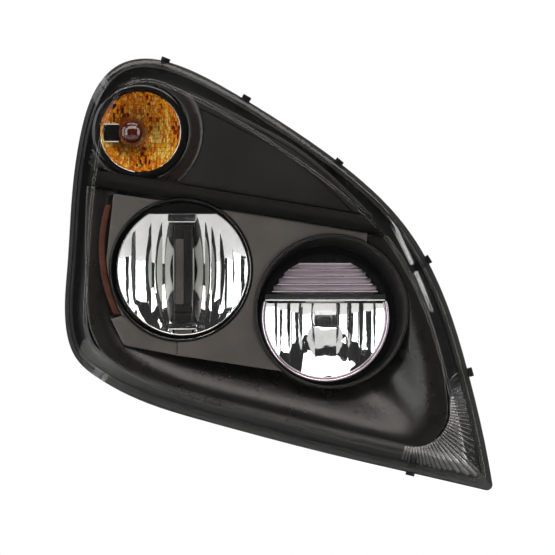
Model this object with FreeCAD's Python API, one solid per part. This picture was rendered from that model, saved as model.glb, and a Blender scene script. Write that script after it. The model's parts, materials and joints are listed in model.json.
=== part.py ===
import FreeCAD, Part
import math
import os
from FreeCAD import Vector

# Heavy-truck passenger-side headlight, millimetres.
# X points inboard, Z up, the lamp shines towards -Y.
# Everything is drawn from the face datum (middle of the lens face) and moved at export so that the
# origin is the middle of the four mounting inserts, on their rear plane Y = 0.

FACE_X = 30.0           # face datum from the middle of the mounting pattern
FACE_Z = 40.0
MOUNT_DX = 300.0        # mounting pattern
MOUNT_DZ = 180.0
INSERT_BORE = 4.0       # M8 nominal radius
BOSS_R = 14.0

FRONT_Y = -290.0        # foremost point of the lens
SWEEP_SIDE = 40.0       # how far the face falls back towards the outboard edge
SWEEP_TOP = 45.0        # and towards the top
BULGE = 14.0
WRAP = 90.0             # extra fall-back of the wrap-around outboard edge
WRAP_START = -235.0
WRAP_WIDTH = 66.0
SPAN_X = 602.0
SPAN_Z = 606.0
RIGHT_X = 301.0
BOTTOM_Z = -302.0
SHEET = 325.0           # half width of the face surface before it is trimmed

LENS_T = 3.2
SEAT = 60.0             # lens face to housing flange, along Y
SEAL_T = 3.0
BACK_Y = -30.0          # rear face of the housing
WALL = 3.5

LOW = (-132.0, 6.0)     # beam axes, X and Z
HIGH = (67.0, -61.0)
TURN = (-192.0, 200.0)
BULB = (-204.0, 199.0)
STRIP = (-34.0, 36.0)
STRIP_INNER, STRIP_OUTER = 206.5, 215.0
LOW_AXIS_Y = -160.0     # aiming axes
HIGH_AXIS_Y = -175.0
LOW_R = 92.5
LOW_RIM_Y = -208.0
LOW_APEX_Y = -158.0
HIGH_R = 84.0
HIGH_RIM_Y = -226.0
HIGH_APEX_Y = -173.5
TURN_R = 57.0
TURN_RIM_Y = -172.0
TURN_APEX_Y = -127.0
LOW_OPENING = (-134.0, 6.0)
LOW_OPENING_R = 100.0
TUBE_MOUTH = (76.0, -52.0)
TUBE_BASE = (68.0, -60.0)
TUBE_MOUTH_R = 104.0
TUBE_BASE_R = 96.5
TUBE_MOUTH_Y = -250.0
TUBE_BASE_Y = -216.0
BAND_SLOPE = -0.169     # the eyebrow band falls inboard
BAND_TOP_Z = 124.0      # band edges at BAND_X
BAND_LOW_Z = 101.0
BAND_X = -126.0

AIM_ARM = 95.0          # aiming axis to ball stud
PIVOT_REACH = 105.0
PIN_R = 4.0
BUSH_BORE = 4.08
BALL_R = 6.0
STUD_R = 3.5
KNOB_BORE = 4.2
CAP_R = 46.0
CAP_HOLE_R = 41.0
WELL_R = 29.0
WELL_FLOOR_Y = -106.0
SOCKET_R = 16.5

BEZEL_DEPTH = 28.0      # lens face to the general bezel skin
PLATE_DEPTH = 20.0
BAND_DEPTH = 12.0
SKIN = 3.0
OUTLINE_EDGES = 8

# Corner of the outline, then over the top, down the outboard side and back along the bottom.
OUTLINE = [
    (303, -305), (290, -232), (269, -143), (234, -31), (178, 70), (112, 137), (21, 204),
    (-69, 260), (-150, 298), (-189, 304), (-225, 294), (-253, 266), (-277, 204), (-291, 115),
    (-298, 14), (-301, -70), (-285, -118), (-249, -148), (-200, -174), (-99, -207),
    (69, -251), (190, -279),
]
# The bezel behind the lens, closed and rounded all the way.
BEZEL = [
    (-199, 277), (-122, 255), (-46, 216), (28, 168), (93, 118), (151, 59), (192, -7),
    (219, -76), (233, -141), (237, -197), (225, -222), (199, -250), (160, -248), (88, -230), (-10, -204),
    (-108, -179), (-185, -151), (-236, -118), (-260, -80), (-267, -30), (-269, 60), (-262, 170), (-242, 244),
]


def lens_face(x, z):
    """Depth of the outer lens face at a point of the front view."""
    u = (RIGHT_X - x) / SPAN_X
    v = (z - BOTTOM_Z) / SPAN_Z
    wrap = max(0.0, (WRAP_START - x) / WRAP_WIDTH)
    return lens_plane(x, z) - 16 * BULGE * u * (1 - u) * v * (1 - v) + WRAP * wrap ** 2


def lens_plane(x, z):
    """The flat plane that the lens face leans on."""
    u = (RIGHT_X - x) / SPAN_X
    v = (z - BOTTOM_Z) / SPAN_Z
    return FRONT_Y + SWEEP_SIDE * u + SWEEP_TOP * v


def sheet_face():
    """The lens face as one surface, reaching past the outline on every side."""
    step = SHEET / 10
    grid = [[-lens_face(-SHEET + i * step, -SHEET + j * step) for j in range(21)] for i in range(21)]
    surface = Part.BSplineSurface()
    surface.interpolate(grid, -SHEET, step, -SHEET, step)
    face = surface.toShape()
    face.rotate(Vector(0, 0, 0), Vector(1, 0, 0), 90)
    return face


FACE = sheet_face()


def slab(depth, thickness):
    """Space between two copies of the lens face, depth behind it and thickness deep."""
    face = FACE.copy()
    face.translate(Vector(0, depth, 0))
    return face.extrude(Vector(0, thickness, 0))


def spline(points, closed=False):
    curve = Part.BSplineCurve()
    curve.interpolate(points, PeriodicFlag=closed)
    return curve


def outline_wire(inset, depth):
    """Lamp outline moved inwards, with a rounded lower inboard corner.

    depth(x, z) gives Y, so the wire can lie in any plane.
    """
    flat = [Vector(x, 0, z) for x, z in OUTLINE]
    open_curve = spline(flat + [flat[0]])
    moved = []
    for point in flat[1:]:
        tangent = open_curve.tangent(open_curve.parameter(point))[0]
        moved.append(point + Vector(-tangent.z, 0, tangent.x) * inset)
    start = open_curve.tangent(open_curve.FirstParameter)[0]
    end = open_curve.tangent(open_curve.LastParameter)[0]
    half = start.getAngle(end * -1) / 2
    bisector = (start - end).normalize()
    corner = flat[0] + bisector * (inset / math.sin(half))
    curve = spline([corner] + moved + [corner])
    radius = 8.0
    trim = radius / math.tan(half)
    first = curve.parameterAtDistance(trim, curve.FirstParameter)
    last = curve.parameterAtDistance(-trim, curve.LastParameter)
    middle = corner + bisector * (radius / math.sin(half) - radius)
    ends = [curve.value(last), middle, curve.value(first)]
    curve.segment(first, last)
    poles = [Vector(p.x, depth(p.x, p.z), p.z) for p in curve.getPoles()]
    for index, pole in enumerate(poles, 1):
        curve.setPole(index, pole)
    ends = [Vector(p.x, depth(p.x, p.z), p.z) for p in ends]
    return Part.Wire([curve.toShape(), Part.Arc(*ends).toShape()])


def prism(inset, y0=-330.0, y1=-1.0):
    """Straight column on the moved outline."""
    wire = outline_wire(inset, lambda x, z: y0)
    return Part.Face(wire).extrude(Vector(0, y1 - y0, 0))


def drafted(inset):
    """Column that widens backwards, as the lens side wall does."""
    front = outline_wire(38 + inset, lambda x, z: lens_plane(x, z) - 25)
    back = outline_wire(-42 + inset, lambda x, z: lens_plane(x, z) + 175)
    return Part.makeLoft([front, back], True, True)


def short_edges(curve, count):
    """A closed curve as a run of edges, so that no wall made from it is one long face."""
    start = curve.FirstParameter
    step = (curve.LastParameter - start) / count
    return [curve.toShape(start + i * step, start + (i + 1) * step) for i in range(count)]


def bezel_column(inset, y0=-330.0, y1=-60.0):
    """Straight column on the bezel outline."""
    flat = [Vector(x, y0, z) for x, z in BEZEL]
    curve = spline(flat, True)
    moved = []
    for point in flat:
        tangent = curve.tangent(curve.parameter(point))[0]
        moved.append(point + Vector(-tangent.z, 0, tangent.x) * -inset)
    wire = Part.Wire(short_edges(spline(moved, True), OUTLINE_EDGES))
    return Part.Face(wire).extrude(Vector(0, y1 - y0, 0))


def cylinder(centre, radius, y0, y1):
    return Part.makeCylinder(radius, y1 - y0, Vector(centre[0], y0, centre[1]), Vector(0, 1, 0))


def ring(centre, inner, outer, y0, y1):
    return cylinder(centre, outer, y0, y1).cut(cylinder(centre, inner, y0 - 1, y1 + 1))


def box(x0, x1, y0, y1, z0, z1):
    return Part.makeBox(x1 - x0, y1 - y0, z1 - z0, Vector(x0, y0, z0))


def local_box(centre, x0, x1, y0, y1, z0, z1):
    """Box placed from a beam axis."""
    return box(centre[0] + x0, centre[0] + x1, y0, y1, centre[1] + z0, centre[1] + z1)


def polygon(points, y0=-330.0, y1=-60.0):
    corners = [Vector(x, y0, z) for x, z in points]
    return Part.Face(Part.makePolygon(corners + corners[:1])).extrude(Vector(0, y1 - y0, 0))


def cone_tube(front, front_r, front_y, back, back_r, back_y):
    """Solid between two circles with different middles."""
    wires = []
    for centre, radius, y in ((front, front_r, front_y), (back, back_r, back_y)):
        circle = Part.makeCircle(radius, Vector(centre[0], y, centre[1]), Vector(0, 1, 0))
        wires.append(Part.Wire(circle))
    return Part.makeLoft(wires, True)


def bowl(centre, rim_r, rim_y, apex_y, shift):
    """Solid parabola of revolution about the beam, from its rim plane back, moved back by shift."""
    depth = apex_y - rim_y
    curve = spline([Vector(rim_r * i / 12, apex_y - depth * (i / 12) ** 2 + shift, 0) for i in range(13)])
    rim = Vector(rim_r, rim_y + shift, 0)
    hub = Vector(0, rim_y + shift, 0)
    apex = Vector(0, apex_y + shift, 0)
    wire = Part.Wire([curve.toShape(), Part.makeLine(rim, hub), Part.makeLine(hub, apex)])
    solid = Part.Face(wire).revolve(Vector(0, 0, 0), Vector(0, 1, 0), 360)
    solid.translate(Vector(centre[0], 0, centre[1]))
    return solid


def bowl_shell(centre, rim_r, rim_y, apex_y, shift=3.5):
    outer = bowl(centre, rim_r, rim_y, apex_y, shift).fuse(cylinder(centre, rim_r, rim_y, rim_y + shift))
    return outer.cut(bowl(centre, rim_r, rim_y, apex_y, 0))


def band_height(x, at_band_x):
    return at_band_x + BAND_SLOPE * (x - BAND_X)


def below_band(edge_z):
    """Everything under a line that runs along the band."""
    left, right = band_height(-330, edge_z), band_height(330, edge_z)
    return polygon([(-330, left), (330, right), (330, -330), (-330, -330)])


def above_band(edge_z):
    left, right = band_height(-330, edge_z), band_height(330, edge_z)
    return polygon([(-330, left), (330, right), (330, 330), (-330, 330)])


def at(centre, dx, dz):
    return (centre[0] + dx, centre[1] + dz)


# ---- where things sit ----

MOUNTS = [(sx * MOUNT_DX / 2 - FACE_X, sz * MOUNT_DZ / 2 - FACE_Z) for sx in (-1, 1) for sz in (-1, 1)]
LOW_BALL = at(LOW, 0, -AIM_ARM)
HIGH_BALL = at(HIGH, 0, -AIM_ARM)
DRIVER = (-30.0, -138.0)
CONNECTOR = (5.0, 92.0)
VENTS = [(-60.0, 150.0), (176.0, -190.0)]
CLIPS = [(-157, 301, 22), (-43, 247, 30), (87, 157, 40), (211, 20, 58), (270, -137, 74), (186, -278, 193)]
SCREW_ANGLES = (30.0, 150.0, 270.0)
CAP_LOCK_ANGLES = (90.0, 210.0, 330.0)
CAP_TURN = 30.0


def polar(centre, radius, degrees):
    a = math.radians(degrees)
    return (centre[0] + radius * math.cos(a), centre[1] + radius * math.sin(a))


# ---- housing, lens and seal ----

def rear_housing():
    rear = box(-340, 340, -330, BACK_Y, -340, 340)
    rear_inner = box(-340, 340, -330, BACK_Y - 4, -340, 340)
    flange = prism(0.5).common(slab(SEAT, 5))
    band = prism(9).common(slab(SEAT, 30))
    bowl_outer = prism(30).common(slab(SEAT, 300)).common(rear)
    outer = flange.fuse(band).fuse(bowl_outer)
    band_inner = prism(9 + WALL).common(slab(SEAT - 5, 30 - WALL + 5))
    bowl_inner = prism(30 + WALL).common(slab(SEAT - 5, 300)).common(rear_inner)
    shell = outer.cut(band_inner).cut(bowl_inner)
    for centre in MOUNTS:
        shell = shell.fuse(cylinder(centre, BOSS_R, BACK_Y - 2, 0))
        shell = shell.cut(cylinder(centre, 6.0, -24, 1))
    well = cylinder(BULB, WELL_R + 3, WELL_FLOOR_Y, BACK_Y)
    shell = shell.fuse(well).cut(cylinder(BULB, WELL_R, WELL_FLOOR_Y + 3, 1))
    shell = shell.cut(cylinder(BULB, SOCKET_R + 0.5, WELL_FLOOR_Y - 1, 1))
    for centre in (LOW, HIGH):
        shell = shell.cut(cylinder(centre, CAP_HOLE_R, -40, 1))
        for angle in CAP_LOCK_ANGLES:
            shell = shell.cut(cap_lug(centre, angle + CAP_TURN, 0.6, -40, -20))
    for centre in (LOW_BALL, HIGH_BALL):
        shell = shell.cut(cylinder(centre, 11.0, -40, 1))
    for centre in VENTS:
        shell = shell.cut(cylinder(centre, 5.0, -40, 1))
    for x in (-12, 12):
        shell = shell.cut(cylinder(at(DRIVER, x, 0), 5.0, -40, 1))
    shell = shell.cut(box(CONNECTOR[0] - 16, CONNECTOR[0] + 16, -40, 1, CONNECTOR[1] - 9, CONNECTOR[1] + 9))
    return shell.cut(housing_screws())


def cap_lug(centre, degrees, gap, y0, y1):
    """One bayonet lug of a service cap, or with a gap the notch that passes it."""
    lug = box(36, 44 + gap, y0, y1, -6 - gap, 6 + gap)
    lug.rotate(Vector(0, 0, 0), Vector(0, 1, 0), -degrees)
    lug.translate(Vector(centre[0], 0, centre[1]))
    return lug


def outer_lens():
    foot_depth = SEAT - SEAL_T
    outer = drafted(0).common(prism(4)).common(slab(0, foot_depth))
    inner = drafted(LENS_T).common(prism(4 + LENS_T)).common(slab(LENS_T, foot_depth))
    foot = prism(1).common(slab(foot_depth - 4, 4))
    return outer.fuse(foot).cut(inner)


def lens_seal():
    return prism(2.5).cut(prism(7)).common(slab(SEAT - SEAL_T, SEAL_T))


def lens_clips():
    shapes = []
    keep_out = prism(0.3, -320, -20)
    for x, z, normal in CLIPS:
        y = lens_face(x, z) + SEAT
        clip = box(-6, 6, y - 14, y + 12, -4, 3.2)
        clip.rotate(Vector(0, 0, 0), Vector(0, 1, 0), normal)
        clip.translate(Vector(x, 0, z))
        shapes.append(clip.cut(keep_out))
    return Part.makeCompound([max(s.Solids, key=lambda solid: solid.Volume) for s in shapes])


def mount_inserts():
    return Part.makeCompound([ring(centre, INSERT_BORE, 6.0, -22, 0) for centre in MOUNTS])


# ---- bezel ----

def bezel_skin(region, rim=34.0):
    """Skin of the bezel over a region, with its rim wall along the bezel outline."""
    block = bezel_column(0).common(region).common(slab(BEZEL_DEPTH, rim))
    return block.cut(bezel_column(SKIN).common(slab(BEZEL_DEPTH + SKIN, rim)))


def upper_bezel():
    region = above_band(BAND_TOP_Z + 1)
    skin = bezel_skin(region)
    cup = cone_tube(TURN, 91, -245, TURN, 72.5, TURN_RIM_Y + 4)
    hollow = cone_tube(TURN, 88, -245, TURN, 70, TURN_RIM_Y + 4)
    cup = cup.common(bezel_column(1)).common(region).common(slab(BEZEL_DEPTH + 1, 200))
    return skin.cut(hollow).fuse(cup.cut(hollow))


def eyebrow_trim():
    band = above_band(BAND_LOW_Z).common(below_band(BAND_TOP_Z))
    front = band.common(bezel_column(8)).common(slab(BAND_DEPTH, 12))
    front = front.cut(cylinder(LOW_OPENING, LOW_OPENING_R + 0.5, -300, -100))
    return front.cut(side_reflector_slot(1))


PLATE = [
    (-229, 113), (-239, 20), (-235, -57), (-214, -100), (-139, -114),
    (-6, -134), (40, -140), (120, 0), (127, 60),
]


def main_bezel():
    region = polygon(PLATE).common(below_band(BAND_LOW_Z - 1))
    skin = region.common(slab(PLATE_DEPTH, SKIN))
    skin = skin.cut(cylinder(LOW_OPENING, LOW_OPENING_R, -300, -100))
    return skin.cut(cylinder(TUBE_MOUTH, 107.5, -300, -100)).cut(side_reflector_slot(0.5))


def lower_skirt():
    region = below_band(BAND_LOW_Z - 1).cut(cylinder(TUBE_MOUTH, 109, -330, -60))
    skin = bezel_skin(region)
    opening = polygon([(x, z) for x, z in PLATE if z < 60] + [(127, 90), (-229, 130)])
    return skin.cut(opening).cut(cylinder(LOW_OPENING, 116, -330, -60)).cut(side_reflector_slot(1))


def side_reflector_slot(gap):
    """Curved strip beside the low beam."""
    arc = ring(STRIP, STRIP_INNER - gap, STRIP_OUTER + gap, -330, -60)
    return arc.common(box(-260, -200, -330, -60, -57 - gap, 97 + gap))


def side_reflector():
    return side_reflector_slot(0).common(slab(PLATE_DEPTH - 1, 6))


def high_beam_tube():
    wall = 2.5
    outer = cone_tube(
        TUBE_MOUTH, TUBE_MOUTH_R + wall, TUBE_MOUTH_Y, TUBE_BASE, TUBE_BASE_R + wall, TUBE_BASE_Y)
    inner = cone_tube(TUBE_MOUTH, TUBE_MOUTH_R, TUBE_MOUTH_Y, TUBE_BASE, TUBE_BASE_R, TUBE_BASE_Y)
    return outer.cut(inner)


def low_beam_ring():
    tube = ring(LOW_OPENING, LOW_OPENING_R - 3.2, LOW_OPENING_R - 0.2, -250, -198)
    return tube.common(slab(PLATE_DEPTH - 1, 80))


# ---- turn signal ----

def turn_reflector():
    shell = bowl_shell(TURN, TURN_R, TURN_RIM_Y, TURN_APEX_Y)
    neck = cylinder(BULB, 24, -140, WELL_FLOOR_Y)
    neck = neck.cut(bowl(TURN, TURN_R, TURN_RIM_Y, TURN_APEX_Y, 0))
    window = box(TURN[0] - 62, BULB[0] - 21, -200, -130, BULB[1] - 12, BULB[1] + 12)
    return shell.fuse(neck).cut(cylinder(BULB, 21.2, -200, -90)).cut(window)


def turn_trim_ring():
    return ring(TURN, TURN_R + 0.3, 69.5, TURN_RIM_Y - 6, TURN_RIM_Y + 3).common(bezel_column(1))


def turn_bulb_cover():
    dome = Part.makeSphere(21, Vector(BULB[0], -158, BULB[1]))
    outer = cylinder(BULB, 21, -158, WELL_FLOOR_Y - 6).fuse(dome)
    inner = cylinder(BULB, 19.2, -158, -90).fuse(Part.makeSphere(19.2, Vector(BULB[0], -158, BULB[1])))
    return outer.cut(inner)


def turn_bulb():
    globe = Part.makeSphere(13.2, Vector(BULB[0], -156, BULB[1]))
    return globe.fuse(cone_tube(BULB, 11.5, -149, BULB, 9, -134)).fuse(cylinder(BULB, 9, -134, -122))


def turn_socket():
    body = ring(BULB, 9, SOCKET_R - 1, -130, -122).fuse(cylinder(BULB, SOCKET_R - 1, -122, -112))
    body = body.fuse(cylinder(BULB, SOCKET_R, -112, WELL_FLOOR_Y + 5))
    flange = cylinder(BULB, 22, WELL_FLOOR_Y + 5.5, WELL_FLOOR_Y + 9)
    grip = box(BULB[0] - 16, BULB[0] + 16, WELL_FLOOR_Y + 9, -62, BULB[1] - 3, BULB[1] + 3)
    plug = box(BULB[0] - 9, BULB[0] + 9, WELL_FLOOR_Y + 9, -56, BULB[1] - 12, BULB[1] + 12)
    cavity = box(BULB[0] - 7, BULB[0] + 7, -74, -50, BULB[1] - 10, BULB[1] + 10)
    neck = cylinder(BULB, SOCKET_R, WELL_FLOOR_Y + 4, WELL_FLOOR_Y + 7)
    return body.fuse(neck).fuse(flange).fuse(grip).fuse(plug).cut(cavity)


def turn_socket_seal():
    return ring(BULB, SOCKET_R, 21.5, WELL_FLOOR_Y + 3.4, WELL_FLOOR_Y + 5.5)


# ---- beam modules ----

def carrier(centre, axis_y):
    """Die-cast ring that tilts on two pivots and is pushed by the aiming stud."""
    body = ring(centre, 60, 76, axis_y - 6, axis_y + 6)
    for side in (-1, 1):
        x0, x1 = sorted((side * 74, side * 92))
        arm = local_box(centre, x0, x1, axis_y - 6, axis_y + 6, -9, 9)
        x0, x1 = sorted((side * 92, side * 104))
        lug = local_box(centre, x0, x1, axis_y - 10, axis_y + 10, -10, 10)
        body = body.fuse(arm).fuse(lug)
    body = body.fuse(local_box(centre, -10, 10, axis_y - 6, axis_y + 6, -83, -74))
    bore = Part.makeCylinder(6, 240, Vector(centre[0] - 120, axis_y, centre[1]), Vector(1, 0, 0))
    bore = bore.cut(local_box(centre, -86, 86, axis_y - 20, axis_y + 20, -20, 20))
    return body.cut(bore).cut(module_screws(centre, axis_y))


def pivot_bushes(centre, axis_y):
    bushes = []
    for side in (-1, 1):
        x = centre[0] + min(side * 92, side * 104)
        outer = Part.makeCylinder(6, 12, Vector(x, axis_y, centre[1]), Vector(1, 0, 0))
        inner = Part.makeCylinder(BUSH_BORE, 14, Vector(x - 1, axis_y, centre[1]), Vector(1, 0, 0))
        bushes.append(outer.cut(inner))
    return Part.makeCompound(bushes)


def pivot_brackets(centre, axis_y):
    """Two posts from the housing's back wall, each with the pin that a bush turns on."""
    posts = []
    for side in (-1, 1):
        x0, x1 = sorted((side * (PIVOT_REACH + 1), side * (PIVOT_REACH + 8)))
        post = local_box(centre, x0, x1, axis_y - 9, BACK_Y - 4, -9, 9)
        foot = local_box(centre, x0 - 4, x1 + 4, BACK_Y - 9, BACK_Y - 4, -14, 14)
        x0 = min(side * 91, side * (PIVOT_REACH + 3))
        pin = Part.makeCylinder(PIN_R, 17, Vector(centre[0] + x0, axis_y, centre[1]), Vector(1, 0, 0))
        posts.append(post.fuse(foot).fuse(pin))
    return Part.makeCompound(posts)


def ball_socket(centre, axis_y):
    body = local_box(centre, -12, 12, axis_y - 10, axis_y + 8, -AIM_ARM - 12, -83)
    hollow = Part.makeSphere(BALL_R + 0.5, Vector(centre[0], axis_y, centre[1] - AIM_ARM))
    mouth = cylinder(at(centre, 0, -AIM_ARM), 4.8, axis_y, axis_y + 12)
    return body.cut(hollow).cut(mouth)


def module_screws(centre, axis_y):
    screws = []
    for angle in SCREW_ANGLES:
        place = polar(centre, 68, angle)
        head = cylinder(place, 3.8, axis_y + 12, axis_y + 15)
        shank = cylinder(place, 2.0, axis_y - 4, axis_y + 13)
        screws.append(head.fuse(shank))
    return Part.makeCompound(screws)


def heatsink(centre, axis_y, length):
    base = cylinder(centre, 73, axis_y + 6, axis_y + 12)
    fins = []
    for index in range(-6, 7):
        x = index * 8.0
        fins.append(local_box(centre, x - 1.3, x + 1.3, axis_y + 12, axis_y + 12 + length, -58, 58))
    fins = Part.makeCompound(fins).common(cylinder(centre, 60, axis_y + 12, axis_y + 12 + length))
    return base.fuse(fins.Solids).cut(module_screws(centre, axis_y))


def low_reflector():
    shell = bowl_shell(LOW, LOW_R, LOW_RIM_Y, LOW_APEX_Y)
    flange = ring(LOW, 38, 74, LOW_AXIS_Y - 9, LOW_AXIS_Y - 6).cut(bowl(LOW, LOW_R, LOW_RIM_Y, LOW_APEX_Y, 0))
    shell = shell.fuse(flange).cut(local_box(LOW, -100, 100, -230, -170, 79, 100))
    lip = local_box(LOW, -100, 100, -230, -170, 76.5, 79)
    roof = bowl(LOW, LOW_R, LOW_RIM_Y, LOW_APEX_Y, 0.5).common(lip)
    slot = local_box(LOW, -14.5, 16.5, -230, -120, -63.5, 65.5)
    return shell.fuse(roof).cut(slot)


def low_led_blade():
    front = local_box(LOW, -12, 14, LOW_RIM_Y + 2, LOW_AXIS_Y - 6.5, -61, 63)
    return front.fuse(local_box(LOW, -12, 14, LOW_AXIS_Y - 7, LOW_AXIS_Y + 6, -50, 50))


def low_led_boards():
    boards = []
    for x0, x1 in ((-13.6, -12.0), (14.0, 15.6)):
        boards.append(local_box(LOW, x0, x1, LOW_RIM_Y + 16, LOW_RIM_Y + 40, -28, 30))
    return Part.makeCompound(boards)


def high_reflector():
    shell = bowl_shell(HIGH, HIGH_R, HIGH_RIM_Y, HIGH_APEX_Y)
    hollow = bowl(HIGH, HIGH_R, HIGH_RIM_Y, HIGH_APEX_Y, 0)
    flange = ring(HIGH, 34, 74, HIGH_AXIS_Y - 9, HIGH_AXIS_Y - 6).cut(hollow)
    shell = shell.cut(local_box(HIGH, -100, 100, -240, -100, 21, 100))
    return shell.fuse(flange)


def high_trim_ring():
    upper_part = local_box(HIGH, -95, 95, -240, -200, 21, 95)
    return ring(HIGH, HIGH_R, 90, HIGH_RIM_Y - 4, HIGH_RIM_Y + 3.5).cut(upper_part)


def high_cross_bar():
    bar = local_box(HIGH, -88, 88, HIGH_RIM_Y - 4, HIGH_AXIS_Y - 9.2, 23, 33.5)
    return bar.common(cylinder(HIGH, 88, -240, -150))


def high_led_board():
    return local_box(HIGH, -27, 27, HIGH_RIM_Y + 8, HIGH_RIM_Y + 34, 21.4, 23)


def high_upper_cover():
    """Black frame round the louvre window."""
    plate = cylinder(HIGH, 89.5, HIGH_RIM_Y - 2, HIGH_RIM_Y + 30)
    upper_part = local_box(HIGH, -95, 95, -260, -180, 0, 78)
    window = cylinder(HIGH, 84, HIGH_RIM_Y - 20, HIGH_RIM_Y + 40).common(upper_part)
    plate = plate.cut(window)
    return plate.common(local_box(HIGH, -95, 95, -240, -190, 34, 95))


def drl_louvres():
    rim_part = local_box(HIGH, -95, 95, -240, -190, 34, 77)
    frame = ring(HIGH, 81.5, 83.5, HIGH_RIM_Y + 2, HIGH_RIM_Y + 24).common(rim_part)
    window = cylinder(HIGH, 82.5, HIGH_RIM_Y - 2, HIGH_RIM_Y + 24)
    blades = [local_box(HIGH, -90, 90, HIGH_RIM_Y, HIGH_RIM_Y + 22, z, z + 2.4).common(window)
              for z in (36.0, 46.0, 56.0, 66.0, 74.6)]
    return frame.fuse(blades)


def drl_led_board():
    board = cylinder(HIGH, 81, HIGH_RIM_Y + 26, HIGH_RIM_Y + 27.6)
    return board.common(local_box(HIGH, -90, 90, -240, -190, 34.5, 76))


# ---- aiming gear ----

def adjuster_stud(centre, axis_y):
    ball = Part.makeSphere(BALL_R, Vector(centre[0], axis_y, centre[1]))
    return ball.fuse(cylinder(centre, STUD_R, axis_y, BACK_Y))


def adjuster_knob(centre):
    sleeve = cylinder(centre, 7.0, BACK_Y - 28, BACK_Y + 5)
    head = cylinder(centre, 11.0, BACK_Y + 4.6, BACK_Y + 14)
    notches = [cylinder(polar(centre, 12.0, 60 * i), 2.6, BACK_Y, 0) for i in range(6)]
    return sleeve.fuse(head).cut(Part.makeCompound(notches)).cut(cylinder(centre, KNOB_BORE, -80, BACK_Y + 9))


def adjuster_housing(centre):
    tube = ring(centre, 7.4, 10.8, BACK_Y - 30, BACK_Y + 4)
    flange = ring(centre, 7.4, 17.0, BACK_Y, BACK_Y + 4)
    ears = box(centre[0] - 24, centre[0] + 24, BACK_Y, BACK_Y + 4, centre[1] - 7, centre[1] + 7)
    ears = ears.cut(cylinder(centre, 9, BACK_Y - 1, BACK_Y + 5))
    return tube.fuse(flange).fuse(ears).cut(housing_screws())


# ---- rear fittings ----

def screw(place, y_seat, length):
    head = cylinder(place, 4.0, y_seat, y_seat + 3.0)
    return head.fuse(cylinder(place, 2.0, y_seat - length, y_seat + 1))


def housing_screws():
    screws = []
    for ball in (LOW_BALL, HIGH_BALL):
        for dx in (-20.0, 20.0):
            screws.append(screw(at(ball, dx, 0), BACK_Y + 4, 6.5))
    for dx in (-40.0, 40.0):
        for dz in (-19.0, 19.0):
            screws.append(screw(at(DRIVER, dx, dz), BACK_Y + 6, 8.5))
    return Part.makeCompound(screws)


def led_driver():
    plate = box(DRIVER[0] - 46, DRIVER[0] + 46, BACK_Y + 2, BACK_Y + 6, DRIVER[1] - 25, DRIVER[1] + 25)
    case = box(DRIVER[0] - 34, DRIVER[0] + 34, BACK_Y + 6, BACK_Y + 16, DRIVER[1] - 22, DRIVER[1] + 22)
    fins = [box(DRIVER[0] - 32 + 8 * i, DRIVER[0] - 29 + 8 * i, BACK_Y + 16, BACK_Y + 24, DRIVER[1] - 20,
                DRIVER[1] + 20) for i in range(9)]
    return plate.fuse(case).fuse(fins).cut(housing_screws())


def driver_gasket():
    sheet = box(DRIVER[0] - 46, DRIVER[0] + 46, BACK_Y, BACK_Y + 2, DRIVER[1] - 25, DRIVER[1] + 25)
    window = box(DRIVER[0] - 30, DRIVER[0] + 30, BACK_Y - 1, BACK_Y + 3, DRIVER[1] - 12, DRIVER[1] + 12)
    return sheet.cut(window).cut(housing_screws())


def main_connector():
    x, z = CONNECTOR
    flange = box(x - 24, x + 24, BACK_Y, BACK_Y + 3, z - 16, z + 16)
    shroud = box(x - 18, x + 18, BACK_Y + 3, BACK_Y + 26, z - 11, z + 11)
    plug = box(x - 15.5, x + 15.5, BACK_Y - 12, BACK_Y, z - 8.5, z + 8.5)
    cavity = box(x - 15.5, x + 15.5, BACK_Y + 4, BACK_Y + 30, z - 8.5, z + 8.5)
    latch = box(x - 5, x + 5, BACK_Y + 16, BACK_Y + 20, z + 11, z + 14)
    return flange.fuse(shroud).fuse(plug).fuse(latch).cut(cavity).cut(connector_pins())


def connector_pins():
    x, z = CONNECTOR
    pins = []
    for row in (z - 4, z + 4):
        for column in (x - 10.5, x - 3.5, x + 3.5, x + 10.5):
            pins.append(box(column - 1.2, column + 1.2, BACK_Y - 16, BACK_Y + 16, row - 0.5, row + 0.5))
    return Part.makeCompound(pins)


def breather_vents():
    vents = []
    for centre in VENTS:
        stem = ring(centre, 2.0, 4.9, BACK_Y - 6, BACK_Y + 2)
        cap = cylinder(centre, 10, BACK_Y, BACK_Y + 8).cut(cylinder(centre, 8, BACK_Y + 2, BACK_Y + 6))
        vents.append(stem.fuse(cap).cut(cylinder(centre, 2.0, BACK_Y - 8, BACK_Y + 4)))
    return Part.makeCompound(vents)


def beam_cap(centre):
    """Twist-off service cap with bayonet lugs behind the wall and a finger bar outside."""
    disc = cylinder(centre, CAP_R, BACK_Y + 2.3, BACK_Y + 6)
    skirt = ring(centre, 36.5, 40.2, BACK_Y - 9, BACK_Y + 3)
    bar = box(centre[0] - 34, centre[0] + 34, BACK_Y + 5, BACK_Y + 20, centre[1] - 5, centre[1] + 5)
    lugs = [cap_lug(centre, angle, 0, BACK_Y - 9, BACK_Y - 4.4) for angle in CAP_LOCK_ANGLES]
    return disc.fuse(skirt).fuse(bar).fuse(lugs)


def cap_seal(centre):
    return ring(centre, 41.5, 45.5, BACK_Y + 0.3, BACK_Y + 2.3)


def export(name, shape):
    shape = shape.removeSplitter()
    shape.translate(Vector(FACE_X, 0, FACE_Z))
    solids = shape.Solids
    kept = solids[0] if len(solids) == 1 else Part.makeCompound(solids)
    if not kept.isValid():
        print("not valid:", name)
    print(f"{name:24s} solids {len(solids):3d}  volume {kept.Volume / 1000:9.1f} cm3")
    kept.exportStep(f"parts/{name}.step")


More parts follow.
